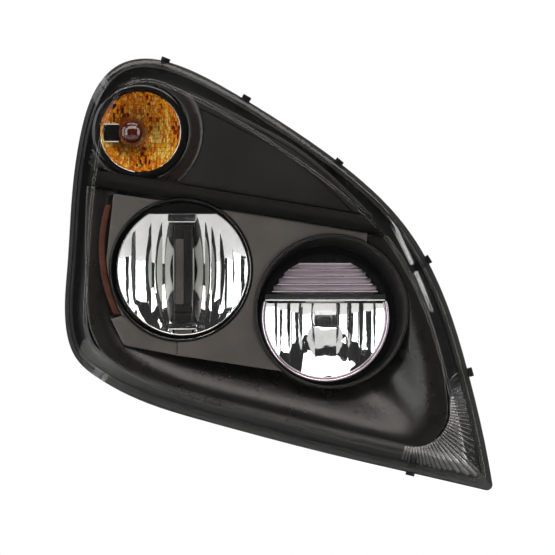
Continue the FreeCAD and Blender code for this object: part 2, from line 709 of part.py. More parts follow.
def main():
    os.makedirs("parts", exist_ok=True)
    export("rear_housing", rear_housing())
    export("mount_inserts", mount_inserts())
    export("outer_lens", outer_lens())
    export("lens_seal", lens_seal())
    export("lens_clips", lens_clips())
    export("upper_bezel", upper_bezel())
    export("eyebrow_trim", eyebrow_trim())
    export("main_bezel", main_bezel())
    export("lower_skirt", lower_skirt())
    export("side_reflector", side_reflector())
    export("high_beam_tube", high_beam_tube())
    export("low_beam_ring", low_beam_ring())
    export("turn_reflector", turn_reflector())
    export("turn_trim_ring", turn_trim_ring())
    export("turn_bulb_cover", turn_bulb_cover())
    export("turn_bulb", turn_bulb())
    export("turn_socket", turn_socket())
    export("turn_socket_seal", turn_socket_seal())
    export("low_reflector", low_reflector())
    export("low_led_blade", low_led_blade())
    export("low_led_boards", low_led_boards())
    export("high_reflector", high_reflector())
    export("high_trim_ring", high_trim_ring())
    export("high_cross_bar", high_cross_bar())
    export("high_led_board", high_led_board())
    export("high_upper_cover", high_upper_cover())
    export("drl_louvres", drl_louvres())
    export("drl_led_board", drl_led_board())
    for beam, centre, axis_y, ball, fins in (
            ("low", LOW, LOW_AXIS_Y, LOW_BALL, 52.0), ("high", HIGH, HIGH_AXIS_Y, HIGH_BALL, 60.0)):
        export(f"{beam}_carrier", carrier(centre, axis_y))
        export(f"{beam}_heatsink", heatsink(centre, axis_y, fins))
        export(f"{beam}_screws", module_screws(centre, axis_y))
        export(f"{beam}_pivot_bushes", pivot_bushes(centre, axis_y))
        export(f"{beam}_pivot_brackets", pivot_brackets(centre, axis_y))
        export(f"{beam}_ball_socket", ball_socket(centre, axis_y))
        export(f"{beam}_adjuster_stud", adjuster_stud(ball, axis_y))
        export(f"{beam}_adjuster_knob", adjuster_knob(ball))
        export(f"{beam}_adjuster_housing", adjuster_housing(ball))
        export(f"{beam}_beam_cap", beam_cap(centre))
        export(f"{beam}_cap_seal", cap_seal(centre))
    export("led_driver", led_driver())
    export("driver_gasket", driver_gasket())
    export("main_connector", main_connector())
    export("connector_pins", connector_pins())
    export("breather_vents", breather_vents())
    export("housing_screws", housing_screws())


main()
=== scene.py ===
import json
import math

import bmesh
import bpy
import numpy as np
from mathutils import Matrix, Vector
from mathutils.geometry import delaunay_2d_cdt


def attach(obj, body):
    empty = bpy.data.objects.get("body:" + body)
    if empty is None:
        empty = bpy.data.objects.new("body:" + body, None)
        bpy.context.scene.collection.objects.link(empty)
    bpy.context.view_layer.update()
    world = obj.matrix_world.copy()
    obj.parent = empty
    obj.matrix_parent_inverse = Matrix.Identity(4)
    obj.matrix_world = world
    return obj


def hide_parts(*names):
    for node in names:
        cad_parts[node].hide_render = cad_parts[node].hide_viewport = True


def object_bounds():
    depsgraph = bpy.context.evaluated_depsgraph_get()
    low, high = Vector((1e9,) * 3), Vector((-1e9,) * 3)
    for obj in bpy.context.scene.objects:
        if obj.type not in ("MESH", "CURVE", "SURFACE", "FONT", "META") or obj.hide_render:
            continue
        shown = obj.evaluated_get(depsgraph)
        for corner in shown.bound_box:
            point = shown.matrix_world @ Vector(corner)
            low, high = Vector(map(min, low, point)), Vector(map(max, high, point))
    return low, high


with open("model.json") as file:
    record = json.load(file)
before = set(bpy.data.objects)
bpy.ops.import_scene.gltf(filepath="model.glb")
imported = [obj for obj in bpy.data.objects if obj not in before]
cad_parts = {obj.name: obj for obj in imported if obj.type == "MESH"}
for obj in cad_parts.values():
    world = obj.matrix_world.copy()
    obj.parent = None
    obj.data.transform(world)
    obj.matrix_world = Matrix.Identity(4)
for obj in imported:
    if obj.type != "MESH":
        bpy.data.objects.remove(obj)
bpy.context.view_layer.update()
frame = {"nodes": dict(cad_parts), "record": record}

# Sizes are millimetres from the face datum (middle of the lens face); place() turns them into metres
# from the mounting pattern. X is inboard, Z up, the lamp shines towards -Y.
FACE_X, FACE_Z = 30.0, 40.0
FRONT_Y, SWEEP_SIDE, SWEEP_TOP, BULGE = -290.0, 40.0, 45.0, 14.0
WRAP, WRAP_START, WRAP_WIDTH = 90.0, -235.0, 66.0
SPAN_X, SPAN_Z, RIGHT_X, BOTTOM_Z = 602.0, 606.0, 301.0, -302.0

LOW, LOW_R, LOW_RIM_Y, LOW_APEX_Y = (-132.0, 6.0), 92.5, -208.0, -158.0
HIGH, HIGH_R, HIGH_RIM_Y, HIGH_APEX_Y = (67.0, -61.0), 84.0, -226.0, -173.5
TURN, TURN_R, TURN_RIM_Y, TURN_APEX_Y = (-192.0, 200.0), 57.0, -172.0, -127.0
BULB = (-204.0, 199.0)
STRIP, STRIP_INNER, STRIP_OUTER = (-34.0, 36.0), 206.5, 215.0
LOW_OPENING, LOW_OPENING_R = (-134.0, 6.0), 100.0
TUBE_MOUTH, TUBE_MOUTH_R, TUBE_MOUTH_Y = (76.0, -52.0), 104.0, -250.0
TUBE_BASE, TUBE_BASE_R = (68.0, -60.0), 96.5
BAND_SLOPE, BAND_TOP_Z, BAND_LOW_Z, BAND_X = -0.169, 124.0, 101.0, -126.0

OUTLINE = [
    (303, -305), (290, -232), (269, -143), (234, -31), (178, 70), (112, 137), (21, 204),
    (-69, 260), (-150, 298), (-189, 304), (-225, 294), (-253, 266), (-277, 204), (-291, 115),
    (-298, 14), (-301, -70), (-285, -118), (-249, -148), (-200, -174), (-99, -207),
    (69, -251), (190, -279),
]
BEZEL = [
    (-199, 277), (-122, 255), (-45, 218), (32, 174), (95, 120), (151, 59), (192, -7),
    (219, -76), (233, -141), (237, -197), (225, -222), (199, -250), (160, -248), (88, -230), (-10, -204),
    (-108, -179), (-185, -151), (-236, -118), (-260, -80), (-267, -30), (-269, 60), (-262, 170), (-242, 244),
]
PLATE = [
    (-229, 113), (-239, 20), (-235, -57), (-214, -100), (-139, -114), (-6, -134), (40, -140),
    (120, 0), (127, 60),
]


# ---- curves and surfaces ----

def lens_face(x, z):
    """Depth of the outer lens face, in millimetres."""
    u = (RIGHT_X - x) / SPAN_X
    v = (z - BOTTOM_Z) / SPAN_Z
    wrap = np.maximum(0.0, (WRAP_START - x) / WRAP_WIDTH)
    plane = FRONT_Y + SWEEP_SIDE * u + SWEEP_TOP * v
    return plane - 16 * BULGE * u * (1 - u) * v * (1 - v) + WRAP * wrap ** 2


def bezel_face(x, z):
    """Lens face without its wrap: what the parts behind it follow."""
    wrap = np.maximum(0.0, (WRAP_START - x) / WRAP_WIDTH)
    return lens_face(x, z) - WRAP * wrap ** 2


def lens_skin(x, z, inset_from_edge):
    """Lens depth: nearly flat inside the rim, falling to the wrapped seat towards the edge."""
    towards_edge = np.clip((31.0 - inset_from_edge) / 23.0, 0, 1)
    return bezel_face(x, z) * (1 - towards_edge) + lens_face(x, z) * towards_edge


def place(x, y, z):
    return ((x + FACE_X) / 1000, y / 1000, (z + FACE_Z) / 1000)


def smooth_loop(points, count, closed=True):
    """Catmull-Rom curve through the points, evenly spaced."""
    p = np.array(points, float)
    before, after = (p[-1:], p[:2]) if closed else (2 * p[:1] - p[1:2], 2 * p[-1:] - p[-2:-1])
    ext = np.vstack([before, p, after])
    pieces = len(p) if closed else len(p) - 1
    out = []
    for i in range(pieces):
        a, b, c, d = ext[i:i + 4]
        t = np.linspace(0, 1, 24, endpoint=False)[:, None]
        square, cube = 2 * a - 5 * b + 4 * c - d, 3 * b - a - 3 * c + d
        out.append(0.5 * (2 * b + (c - a) * t + square * t ** 2 + cube * t ** 3))
    curve = np.vstack(out + ([p[:1]] if closed else [p[-1:]]))
    length = np.concatenate([[0], np.cumsum(np.hypot(*np.diff(curve, axis=0).T))])
    at = np.linspace(0, length[-1], count, endpoint=not closed)
    return np.column_stack([np.interp(at, length, curve[:, k]) for k in (0, 1)])


def rounded(points, radii, step=2.0):
    """Closed polygon with each corner replaced by an arc of its own radius."""
    p = np.array(points, float)
    n = len(p)
    radii = [radii] * n if np.isscalar(radii) else radii
    out = []
    for i in range(n):
        a, b, c = p[i - 1], p[i], p[(i + 1) % n]
        u = (a - b) / np.linalg.norm(a - b)
        w = (c - b) / np.linalg.norm(c - b)
        half = math.acos(np.clip(u @ w, -1, 1)) / 2
        r = radii[i]
        if r <= 0 or half > math.pi / 2 - 0.02:
            out.append(b[None])
            continue
        start, end = b + u * r / math.tan(half), b + w * r / math.tan(half)
        centre = b + (u + w) / np.linalg.norm(u + w) * r / math.sin(half)
        a0 = math.atan2(*(start - centre)[::-1])
        turn = (math.atan2(*(end - centre)[::-1]) - a0 + math.pi) % (2 * math.pi) - math.pi
        angles = a0 + turn * np.linspace(0, 1, max(3, int(abs(turn) * r / step)))
        out.append(centre + r * np.column_stack([np.cos(angles), np.sin(angles)]))
    return np.vstack(out)


def respaced(loop, step):
    """Closed loop with points about every step along it."""
    closed = np.vstack([loop, loop[:1]])
    length = np.concatenate([[0], np.cumsum(np.hypot(*np.diff(closed, axis=0).T))])
    keep = [0.0]
    for a, b in zip(length[:-1], length[1:]):
        pieces = max(1, round((b - a) / step))
        keep += [a + (b - a) * (k + 1) / pieces for k in range(pieces)]
    keep = keep[:-1]
    return np.column_stack([np.interp(keep, length, closed[:, k]) for k in (0, 1)])


def soft_distance(points, loop):
    """Distance to a closed loop with its inner creases rounded off."""
    near = distance(points, loop)
    ahead = np.roll(loop, -1, 0)
    spacing = np.hypot(*(ahead - loop).T)
    total = np.zeros(len(points))
    for middle, weight in zip((loop + ahead) / 2, spacing):
        total += weight / np.maximum(((points - middle) ** 2).sum(axis=1), 1.0) ** 2
    far = (total / (math.pi / 2)) ** (-1 / 3)
    share = np.clip((near - 6) / 10, 0, 1)
    return near * (1 - share) + far * share


def area(loop):
    x, z = loop[:, 0], loop[:, 1]
    return 0.5 * np.sum(x * np.roll(z, -1) - np.roll(x, -1) * z)


def inset(loop, distance):
    """Loop moved inwards along its own normals (outwards when the distance is negative)."""
    tangent = np.roll(loop, -1, 0) - np.roll(loop, 1, 0)
    tangent /= np.maximum(np.linalg.norm(tangent, axis=1)[:, None], 1e-9)
    side = 1.0 if area(loop) > 0 else -1.0
    return loop + side * distance * np.column_stack([-tangent[:, 1], tangent[:, 0]])


def circle(centre, radius, count=96, start=0.0, end=360.0):
    full = abs(end - start) >= 360
    a = np.radians(np.linspace(start, end, count, endpoint=not full))
    return np.column_stack([centre[0] + radius * np.cos(a), centre[1] + radius * np.sin(a)])


def inside(points, loop):
    x, z = points[:, 0][:, None], points[:, 1][:, None]
    x0, z0 = loop[:, 0][None], loop[:, 1][None]
    x1, z1 = np.roll(loop[:, 0], -1)[None], np.roll(loop[:, 1], -1)[None]
    crosses = (z0 > z) != (z1 > z)
    with np.errstate(divide="ignore", invalid="ignore"):
        cut = x < (x1 - x0) * (z - z0) / (z1 - z0) + x0
    return (crosses & cut).sum(axis=1) % 2 == 1


def distance(points, loop):
    """Distance from each point to a closed polyline."""
    a, b = loop, np.roll(loop, -1, 0)
    best = np.full(len(points), 1e9)
    for start, step in zip(a, b - a):
        t = np.clip(((points - start) @ step) / max(step @ step, 1e-12), 0, 1)
        best = np.minimum(best, np.hypot(*(points - start - t[:, None] * step).T))
    return best


def band_height(x, at_band_x):
    return at_band_x + BAND_SLOPE * (x - BAND_X)


# ---- meshes ----

def mesh_object(name, verts, faces, material, sharp=35.0):
    """Object from millimetre vertices and faces, smooth except over sharp edges."""
    mesh = bpy.data.meshes.new(name)
    mesh.from_pydata([place(*v) for v in verts], [], [tuple(int(i) for i in f) for f in faces])
    mesh.update()
    bm = bmesh.new()
    bm.from_mesh(mesh)
    bmesh.ops.remove_doubles(bm, verts=bm.verts, dist=2e-6)
    bmesh.ops.dissolve_degenerate(bm, edges=bm.edges, dist=1e-6)
    bmesh.ops.recalc_face_normals(bm, faces=bm.faces)
    for face in bm.faces:
        face.smooth = True
    limit = math.radians(sharp)
    for edge in bm.edges:
        edge.smooth = len(edge.link_faces) == 2 and edge.calc_face_angle(0.0) < limit
    bm.to_mesh(mesh)
    bm.free()
    obj = bpy.data.objects.new(name, mesh)
    bpy.context.collection.objects.link(obj)
    mesh.materials.append(material)
    return obj


def grid_faces(rows, columns, wrap_columns=False, wrap_rows=False, offset=0):
    faces = []
    for i in range(rows if wrap_rows else rows - 1):
        for j in range(columns if wrap_columns else columns - 1):
            a = i * columns + j
            b = i * columns + (j + 1) % columns
            c = ((i + 1) % rows) * columns + (j + 1) % columns
            d = ((i + 1) % rows) * columns + j
            faces.append((a + offset, b + offset, c + offset, d + offset))
    return faces


def lathe(name, centre, profile, material, count=96, start=0.0, end=360.0, closed=True, sharp=35.0):
    """Profile of (radius, y) pairs turned about a beam axis; a closed profile makes a solid ring."""
    full = abs(end - start) >= 360
    angles = np.radians(np.linspace(start, end, count, endpoint=not full))
    verts = [
        (centre[0] + r * math.cos(a), y, centre[1] + r * math.sin(a))
        for a in angles for r, y in profile
    ]
    n = len(profile)
    faces = grid_faces(len(angles), n, wrap_columns=closed, wrap_rows=full)
    if closed and not full:
        faces += [tuple(range(n)), tuple(range((len(angles) - 1) * n, len(angles) * n))]
    return mesh_object(name, verts, faces, material, sharp)


def bead(radius, y, half):
    """Round section of a ring, for lathe."""
    return [(radius + half * math.cos(a), y + half * math.sin(a)) for a in np.radians(np.arange(0, 360, 30))]


def box_mesh(x0, x1, y0, y1, z0, z1, bevel, verts, faces):
    """Adds one box with bevelled edges to a vertex and face list."""
    bm = bmesh.new()
    bmesh.ops.create_cube(bm, size=1.0)
    for v in bm.verts:
        v.co = Vector((
            x0 + (v.co.x + 0.5) * (x1 - x0),
            y0 + (v.co.y + 0.5) * (y1 - y0),
            z0 + (v.co.z + 0.5) * (z1 - z0),
        ))
    if bevel:
        bmesh.ops.bevel(bm, geom=list(bm.edges), offset=bevel, segments=2, affect="EDGES", profile=0.6)
    base = len(verts)
    verts.extend(tuple(v.co) for v in bm.verts)
    faces.extend(tuple(base + v.index for v in f.verts) for f in bm.faces)
    bm.free()


def boxes(name, items, material, bevel=0.6):
    """One object made of several bevelled boxes, each x0, x1, y0, y1, z0, z1."""
    verts, faces = [], []
    for item in items:
        box_mesh(*item, bevel, verts, faces)
    return mesh_object(name, verts, faces, material, 30)


def region_loops(loops, keep):
    """Boundary loops of the part of an arrangement of closed curves where keep(points) is true."""
    verts, edges = [], []
    for loop in loops:
        base = len(verts)
        verts += [Vector(p) for p in loop]
        edges += [(base + i, base + (i + 1) % len(loop)) for i in range(len(loop))]
    out_v, _, out_f, _, _, _ = delaunay_2d_cdt(verts, edges, [], 0, 0.01)
    p = np.array([tuple(v) for v in out_v])
    f = np.array(out_f)
    f = f[keep(p[f].mean(axis=1))]
    return boundary(p, f)


def boundary(points, faces):
    count, following = {}, {}
    for tri in faces:
        for a, b in zip(tri, np.roll(tri, -1)):
            count[(min(a, b), max(a, b))] = count.get((min(a, b), max(a, b)), 0) + 1
    for tri in faces:
        for a, b in zip(tri, np.roll(tri, -1)):
            if count[(min(a, b), max(a, b))] == 1:
                following.setdefault(int(a), []).append(int(b))
    loops = []
    while following:
        start = next(iter(following))
        loop, current = [], start
        while current in following:
            loop.append(current)
            nexts = following[current]
            following_point = nexts.pop()
            if not nexts:
                del following[current]
            current = following_point
        if len(loop) > 2:
            loops.append(points[loop])
    return sorted(loops, key=lambda loop: -abs(area(loop)))


def panel(name, loops, depth, material, step=6.0, edge=1.6, wall=8.0, extra=None, sharp=32.0):
    """Moulded panel: front skin over a region, rolled edges of radius edge, and walls going back."""
    loops = [respaced(loop, 3.0) for loop in loops]
    outer = loops[0]
    verts = [p for loop in loops for p in loop]
    edges = []
    base = 0
    for loop in loops:
        edges += [(base + i, base + (i + 1) % len(loop)) for i in range(len(loop))]
        base += len(loop)
    added = []
    for index, loop in enumerate(loops):
        for part in (0.12, 0.4, 1.0):
            added.append(inset(loop, edge * part if index == 0 else -edge * part))
    x = np.arange(outer[:, 0].min(), outer[:, 0].max(), step)
    z = np.arange(outer[:, 1].min(), outer[:, 1].max(), step * 0.87)
    gx, gz = np.meshgrid(x, z)
    gx = gx + (np.arange(len(z)) % 2)[:, None] * step / 2
    grid = np.column_stack([gx.ravel(), gz.ravel()])
    pool = np.vstack(added + ([extra] if extra is not None else []) + [grid])
    kept = inside(pool, outer)
    for loop in loops[1:]:
        kept &= ~inside(pool, loop)
    pool = pool[kept]
    near = np.min([distance(pool, loop) for loop in loops], axis=0)
    fixed = sum(len(a) for a in added) + (len(extra) if extra is not None else 0)
    is_grid = np.flatnonzero(kept) >= fixed
    pool = pool[(near > edge * 0.08) & (~is_grid | (near > edge * 1.3))]
    points = [Vector(p) for p in np.vstack([verts, pool])]
    out_v, _, out_f, _, _, _ = delaunay_2d_cdt(points, edges, [], 0, 0.02)
    p = np.array([tuple(v) for v in out_v])
    f = np.array(out_f)
    middle = p[f].mean(axis=1)
    keep = inside(middle, outer)
    for loop in loops[1:]:
        keep &= ~inside(middle, loop)
    f = f[keep]
    near = np.min([distance(p, loop) for loop in loops], axis=0)
    roll = np.clip(near, 0, edge)
    y = depth(p[:, 0], p[:, 1]) + edge - np.sqrt(np.maximum(edge ** 2 - (edge - roll) ** 2, 0))
    verts3 = [(a, b, c) for (a, c), b in zip(p, y)]
    faces3 = [tuple(t) for t in f]
    count = {}
    for tri in f:
        for a, b in zip(tri, np.roll(tri, -1)):
            key = (min(a, b), max(a, b))
            count[key] = count.get(key, 0) + 1
    back = {}
    for (a, b), uses in count.items():
        if uses == 1:
            for k in (a, b):
                if k not in back:
                    back[k] = len(verts3)
                    verts3.append((p[k][0], y[k] + wall, p[k][1]))
            faces3.append((a, b, back[b], back[a]))
    return mesh_object(name, verts3, faces3, material, sharp)


# ---- materials ----

def new_material(name, **values):
    """Principled material with plain socket values; returns the material and its node tree parts."""
    mat = bpy.data.materials.new(name)
    mat.use_nodes = True
    nodes, links = mat.node_tree.nodes, mat.node_tree.links
    shader = nodes["Principled BSDF"]
    for key, value in values.items():
        shader.inputs[key.replace("_", " ")].default_value = value
    return mat, nodes, links, shader


def texture_coordinates(nodes, links, scale):
    coords = nodes.new("ShaderNodeTexCoord")
    mapping = nodes.new("ShaderNodeMapping")
    mapping.inputs["Scale"].default_value = scale
    links.new(coords.outputs["Object"], mapping.inputs["Vector"])
    return mapping.outputs["Vector"]


def noise(nodes, links, vector, scale, detail=4.0, rough=0.6):
    node = nodes.new("ShaderNodeTexNoise")
    node.inputs["Scale"].default_value = scale
    node.inputs["Detail"].default_value = detail
    node.inputs["Roughness"].default_value = rough
    links.new(vector, node.inputs["Vector"])
    return node.outputs["Fac"]


def ramp(nodes, links, value, stops):
    node = nodes.new("ShaderNodeValToRGB")
    elements = node.color_ramp.elements
    while len(elements) < len(stops):
        elements.new(0.5)
    for element, (position, colour) in zip(elements, stops):
        element.position = position
        element.color = (*colour, 1) if len(colour) == 3 else colour
    links.new(value, node.inputs["Fac"])
    return node.outputs["Color"]


def bump(nodes, links, shader, height, strength, distance_m):
    node = nodes.new("ShaderNodeBump")
    node.inputs["Strength"].default_value = strength
    node.inputs["Distance"].default_value = distance_m
    links.new(height, node.inputs["Height"])
    links.new(node.outputs["Normal"], shader.inputs["Normal"])


def moulded_plastic(name, colour, rough, rough_spread, grain, grain_size=900.0, sheen=0.5):
    """Moulded plastic with a fine grain and cloudy changes of gloss and shade."""
    mat, nodes, links, shader = new_material(name, Roughness=rough, Specular_IOR_Level=sheen)
    vector = texture_coordinates(nodes, links, (1, 1, 1))
    cloud = noise(nodes, links, vector, 14.0, 5.0, 0.65)
    low, high = tuple(c * 0.82 for c in colour), tuple(min(1, c * 1.2) for c in colour)
    links.new(ramp(nodes, links, cloud, [(0.3, low), (0.7, high)]), shader.inputs["Base Color"])
    r0, r1 = rough - rough_spread, rough + rough_spread
    links.new(ramp(nodes, links, cloud, [(0.3, (r0,) * 3), (0.7, (r1,) * 3)]), shader.inputs["Roughness"])
    bump(nodes, links, shader, noise(nodes, links, vector, grain_size, 2.0), grain, 0.0002)
    return mat


def metallised(name, colour, rough):
    """Vacuum-metallised mirror finish with slight waviness and a few dusty, duller spots."""
    mat, nodes, links, shader = new_material(name, Metallic=1.0, Roughness=rough)
    vector = texture_coordinates(nodes, links, (1, 1, 1))
    wave = noise(nodes, links, vector, 38.0, 2.0)
    dust = noise(nodes, links, vector, 300.0, 4.0)
    low = tuple(c * 0.93 for c in colour)
    links.new(ramp(nodes, links, wave, [(0.35, low), (0.65, colour)]), shader.inputs["Base Color"])
    stops = [(0.5, (rough,) * 3), (0.8, (rough + 0.08,) * 3)]
    links.new(ramp(nodes, links, dust, stops), shader.inputs["Roughness"])
    bump(nodes, links, shader, wave, 0.12, 0.002)
    return mat


def metal(name, colour, rough, grain_scale, strength, stretch=(1, 1, 1)):
    mat, nodes, links, shader = new_material(name, Metallic=1.0, Roughness=rough)
    vector = texture_coordinates(nodes, links, stretch)
    grain = noise(nodes, links, vector, grain_scale, 5.0)
    low = tuple(c * 0.8 for c in colour)
    links.new(ramp(nodes, links, grain, [(0.3, low), (0.7, colour)]), shader.inputs["Base Color"])
    stops = [(0.3, (rough - 0.08,) * 3), (0.7, (rough + 0.1,) * 3)]
    links.new(ramp(nodes, links, grain, stops), shader.inputs["Roughness"])
    bump(nodes, links, shader, grain, strength, 0.0005)
    return mat


def clear_lens_material():
    """Thin clear polycarbonate: see-through, with gloss that grows towards grazing angles."""
    mat, nodes, links, shader = new_material("clear_polycarbonate")
    nodes.remove(shader)
    clear = nodes.new("ShaderNodeBsdfTransparent")
    clear.inputs["Color"].default_value = (0.985, 0.987, 0.985, 1)
    gloss = nodes.new("ShaderNodeBsdfGlossy")
    gloss.inputs["Color"].default_value = (1, 1, 1, 1)
    gloss.inputs["Roughness"].default_value = 0.04
    facing = nodes.new("ShaderNodeLayerWeight")
    facing.inputs["Blend"].default_value = 0.5
    grazing = nodes.new("ShaderNodeMath")
    grazing.operation = "POWER"
    grazing.inputs[1].default_value = 5.0
    share = nodes.new("ShaderNodeMath")
    share.operation = "MULTIPLY_ADD"
    share.inputs[1].default_value = 0.22
    share.inputs[2].default_value = 0.03
    mix = nodes.new("ShaderNodeMixShader")
    links.new(facing.outputs["Facing"], grazing.inputs[0])
    links.new(grazing.outputs["Value"], share.inputs[0])
    links.new(share.outputs["Value"], mix.inputs["Fac"])
    links.new(clear.outputs["BSDF"], mix.inputs[1])
    links.new(gloss.outputs["BSDF"], mix.inputs[2])
    links.new(mix.outputs["Shader"], nodes["Material Output"].inputs["Surface"])
    return mat


def painted_amber_reflection_material():
    """Faceted mirror with the amber bulb's reflection painted into its base colour: a mosaic of painted
    orange, yellow and brown glints with dark seams.
    """
    mat, nodes, links, shader = new_material(
        "amber_painted_reflection_mirror", Metallic=0.15, Roughness=0.2, Coat_Weight=0.4)
    cell_space = texture_coordinates(nodes, links, (1.0, 0.3, 0.42))
    cells, seams = nodes.new("ShaderNodeTexVoronoi"), nodes.new("ShaderNodeTexVoronoi")
    cells.distance = "CHEBYCHEV"
    seams.feature = "DISTANCE_TO_EDGE"
    for node in (cells, seams):
        node.inputs["Scale"].default_value = 400.0
        node.inputs["Randomness"].default_value = 0.5
        links.new(cell_space, node.inputs["Vector"])
    split = nodes.new("ShaderNodeSeparateColor")
    links.new(cells.outputs["Color"], split.inputs["Color"])
    streaks = noise(nodes, links, texture_coordinates(nodes, links, (1.0, 0.2, 0.45)), 34.0, 3.0, 0.7)
    both = nodes.new("ShaderNodeMath")
    both.operation = "MULTIPLY_ADD"
    both.inputs[1].default_value = 0.5
    links.new(split.outputs["Red"], both.inputs[0])
    links.new(streaks, both.inputs[2])
    # Painted reflection: these ramp colours paint the amber bulb's orange, yellow and brown glints into the
    # base colour.
    colour = ramp(nodes, links, both.outputs["Value"], [
        (0.46, (0.06, 0.012, 0.003)), (0.56, (0.60, 0.10, 0.008)), (0.68, (1.0, 0.28, 0.012)),
        (0.80, (1.0, 0.52, 0.02)), (0.90, (0.55, 0.09, 0.01)), (0.97, (1.0, 0.72, 0.15))])
    # Darker seams between the facets, painted into the same base colour.
    lines = ramp(nodes, links, seams.outputs["Distance"], [(0.02, (0.25, 0.25, 0.25)), (0.08, (1, 1, 1))])
    shaded = nodes.new("ShaderNodeMix")
    shaded.data_type = "RGBA"
    shaded.blend_type = "MULTIPLY"
    shaded.inputs["Factor"].default_value = 1.0
    links.new(colour, shaded.inputs["A"])
    links.new(lines, shaded.inputs["B"])
    links.new(shaded.outputs["Result"], shader.inputs["Base Color"])
    bump(nodes, links, shader, cells.outputs["Distance"], 0.5, 0.002)
    return mat


def reed_material():
    """Moulded reeds: clear plastic whose rounded crests carry white glints."""
    mat, nodes, links, shader = new_material("reeded_polycarbonate")
    nodes.remove(shader)
    clear = nodes.new("ShaderNodeBsdfTransparent")
    gloss = nodes.new("ShaderNodeBsdfGlossy")
    gloss.inputs["Roughness"].default_value = 0.22
    vector = texture_coordinates(nodes, links, (1, 1, 1))
    cloud = noise(nodes, links, vector, 30.0, 3.0)
    shade = ramp(nodes, links, cloud, [(0.3, (0.75, 0.75, 0.75)), (0.7, (1, 1, 1))])
    links.new(shade, gloss.inputs["Color"])
    mix = nodes.new("ShaderNodeMixShader")
    mix.inputs["Fac"].default_value = 0.32
    links.new(clear.outputs["BSDF"], mix.inputs[1])
    links.new(gloss.outputs["BSDF"], mix.inputs[2])
    links.new(mix.outputs["Shader"], nodes["Material Output"].inputs["Surface"])
    return mat


def amber_plastic_material(name, colour, rough=0.12, prism=0.0, coat=0.6):
    mat, nodes, links, shader = new_material(
        name, Roughness=rough, Transmission_Weight=0.25, IOR=1.58, Coat_Weight=coat,
        Specular_IOR_Level=0.1 + 0.7 * coat)
    vector = texture_coordinates(nodes, links, (1, 1, 1))
    cloud = noise(nodes, links, vector, 60.0, 3.0)
    low = tuple(c * 0.55 for c in colour)
    links.new(ramp(nodes, links, cloud, [(0.35, low), (0.65, colour)]), shader.inputs["Base Color"])
    if prism:
        cells = nodes.new("ShaderNodeTexVoronoi")
        cells.inputs["Scale"].default_value = 420.0
        links.new(vector, cells.inputs["Vector"])
        bump(nodes, links, shader, cells.outputs["Distance"], prism, 0.001)
    return mat


MAT = {
    "housing": moulded_plastic("housing_plastic", (0.016, 0.016, 0.017), 0.5, 0.07, 0.5, 700),
    "bezel": moulded_plastic("bezel_satin_plastic", (0.010, 0.0095, 0.009), 0.38, 0.04, 0.18, 1400, 0.3),
    "band": moulded_plastic("band_satin_plastic", (0.0035, 0.0034, 0.003), 0.42, 0.04, 0.18, 1400, 0.07),
    "tray": moulded_plastic("tray_satin_plastic", (0.007, 0.0062, 0.0055), 0.28, 0.03, 0.14, 1400, 0.5),
    "plate": moulded_plastic("plate_satin_plastic", (0.075, 0.067, 0.062), 0.42, 0.04, 0.22, 1400, 0.3),
    "gloss": moulded_plastic("gloss_black_plastic", (0.006, 0.006, 0.006), 0.09, 0.03, 0.02, 300),
    "rubber": moulded_plastic("seal_rubber", (0.014, 0.014, 0.014), 0.72, 0.06, 0.6, 500),
    "chrome": metallised("reflector_mirror", (0.93, 0.94, 0.95), 0.03),
    "rose_chrome": metallised("ring_mirror", (0.95, 0.84, 0.93), 0.2),
    "rose_satin": metallised("louvre_satin", (0.72, 0.64, 0.70), 0.42),
    "cast": metal("cast_aluminium", (0.55, 0.56, 0.58), 0.45, 260, 0.5),
    "steel": metal("zinc_steel", (0.5, 0.51, 0.53), 0.3, 400, 0.2),
    "black_steel": metal("blackened_steel", (0.045, 0.045, 0.047), 0.35, 500, 0.2),
    "brass": metal("turned_brass", (0.72, 0.52, 0.22), 0.28, 300, 0.2, (1, 20, 1)),
    "nylon": moulded_plastic("natural_nylon", (0.62, 0.59, 0.50), 0.45, 0.05, 0.15, 600),
    "board": moulded_plastic("white_board", (0.66, 0.67, 0.62), 0.35, 0.05, 0.1, 800),
    "lens": clear_lens_material(),
    "reeds": reed_material(),
    # painted reflection of the amber bulb in the turn mirror
    "painted_amber_reflection": painted_amber_reflection_material(),
    "amber_strip": amber_plastic_material("amber_marker_plastic", (0.085, 0.017, 0.004), 0.5, 0.5, 0.0),
    "amber_bulb": amber_plastic_material("amber_bulb_plastic", (0.10, 0.012, 0.003), 0.08),
}
SLOT_MATERIAL = {
    "housing_black": "housing", "bezel_black": "bezel", "gloss_black": "gloss", "lens_clear": "lens",
    "amber_clear": "amber_strip", "bright_chrome": "chrome", "seal_rubber": "rubber",
    "cast_aluminium": "cast",
    "spring_steel": "steel", "brass": "brass", "circuit_board": "board", "natural_nylon": "nylon",
}


NODE_MATERIAL = {"lens_clips": "black_steel"}


def give_cad_materials():
    """Every CAD node that stays visible takes the detailed material of its slot, or its own."""
    for entry in frame["record"]["subparts"]:
        node = frame["nodes"][entry["node"]]
        for slot in node.material_slots:
            slot.material = MAT[NODE_MATERIAL.get(entry["node"], SLOT_MATERIAL[entry["material_slot"]])]


# ---- the lens ----

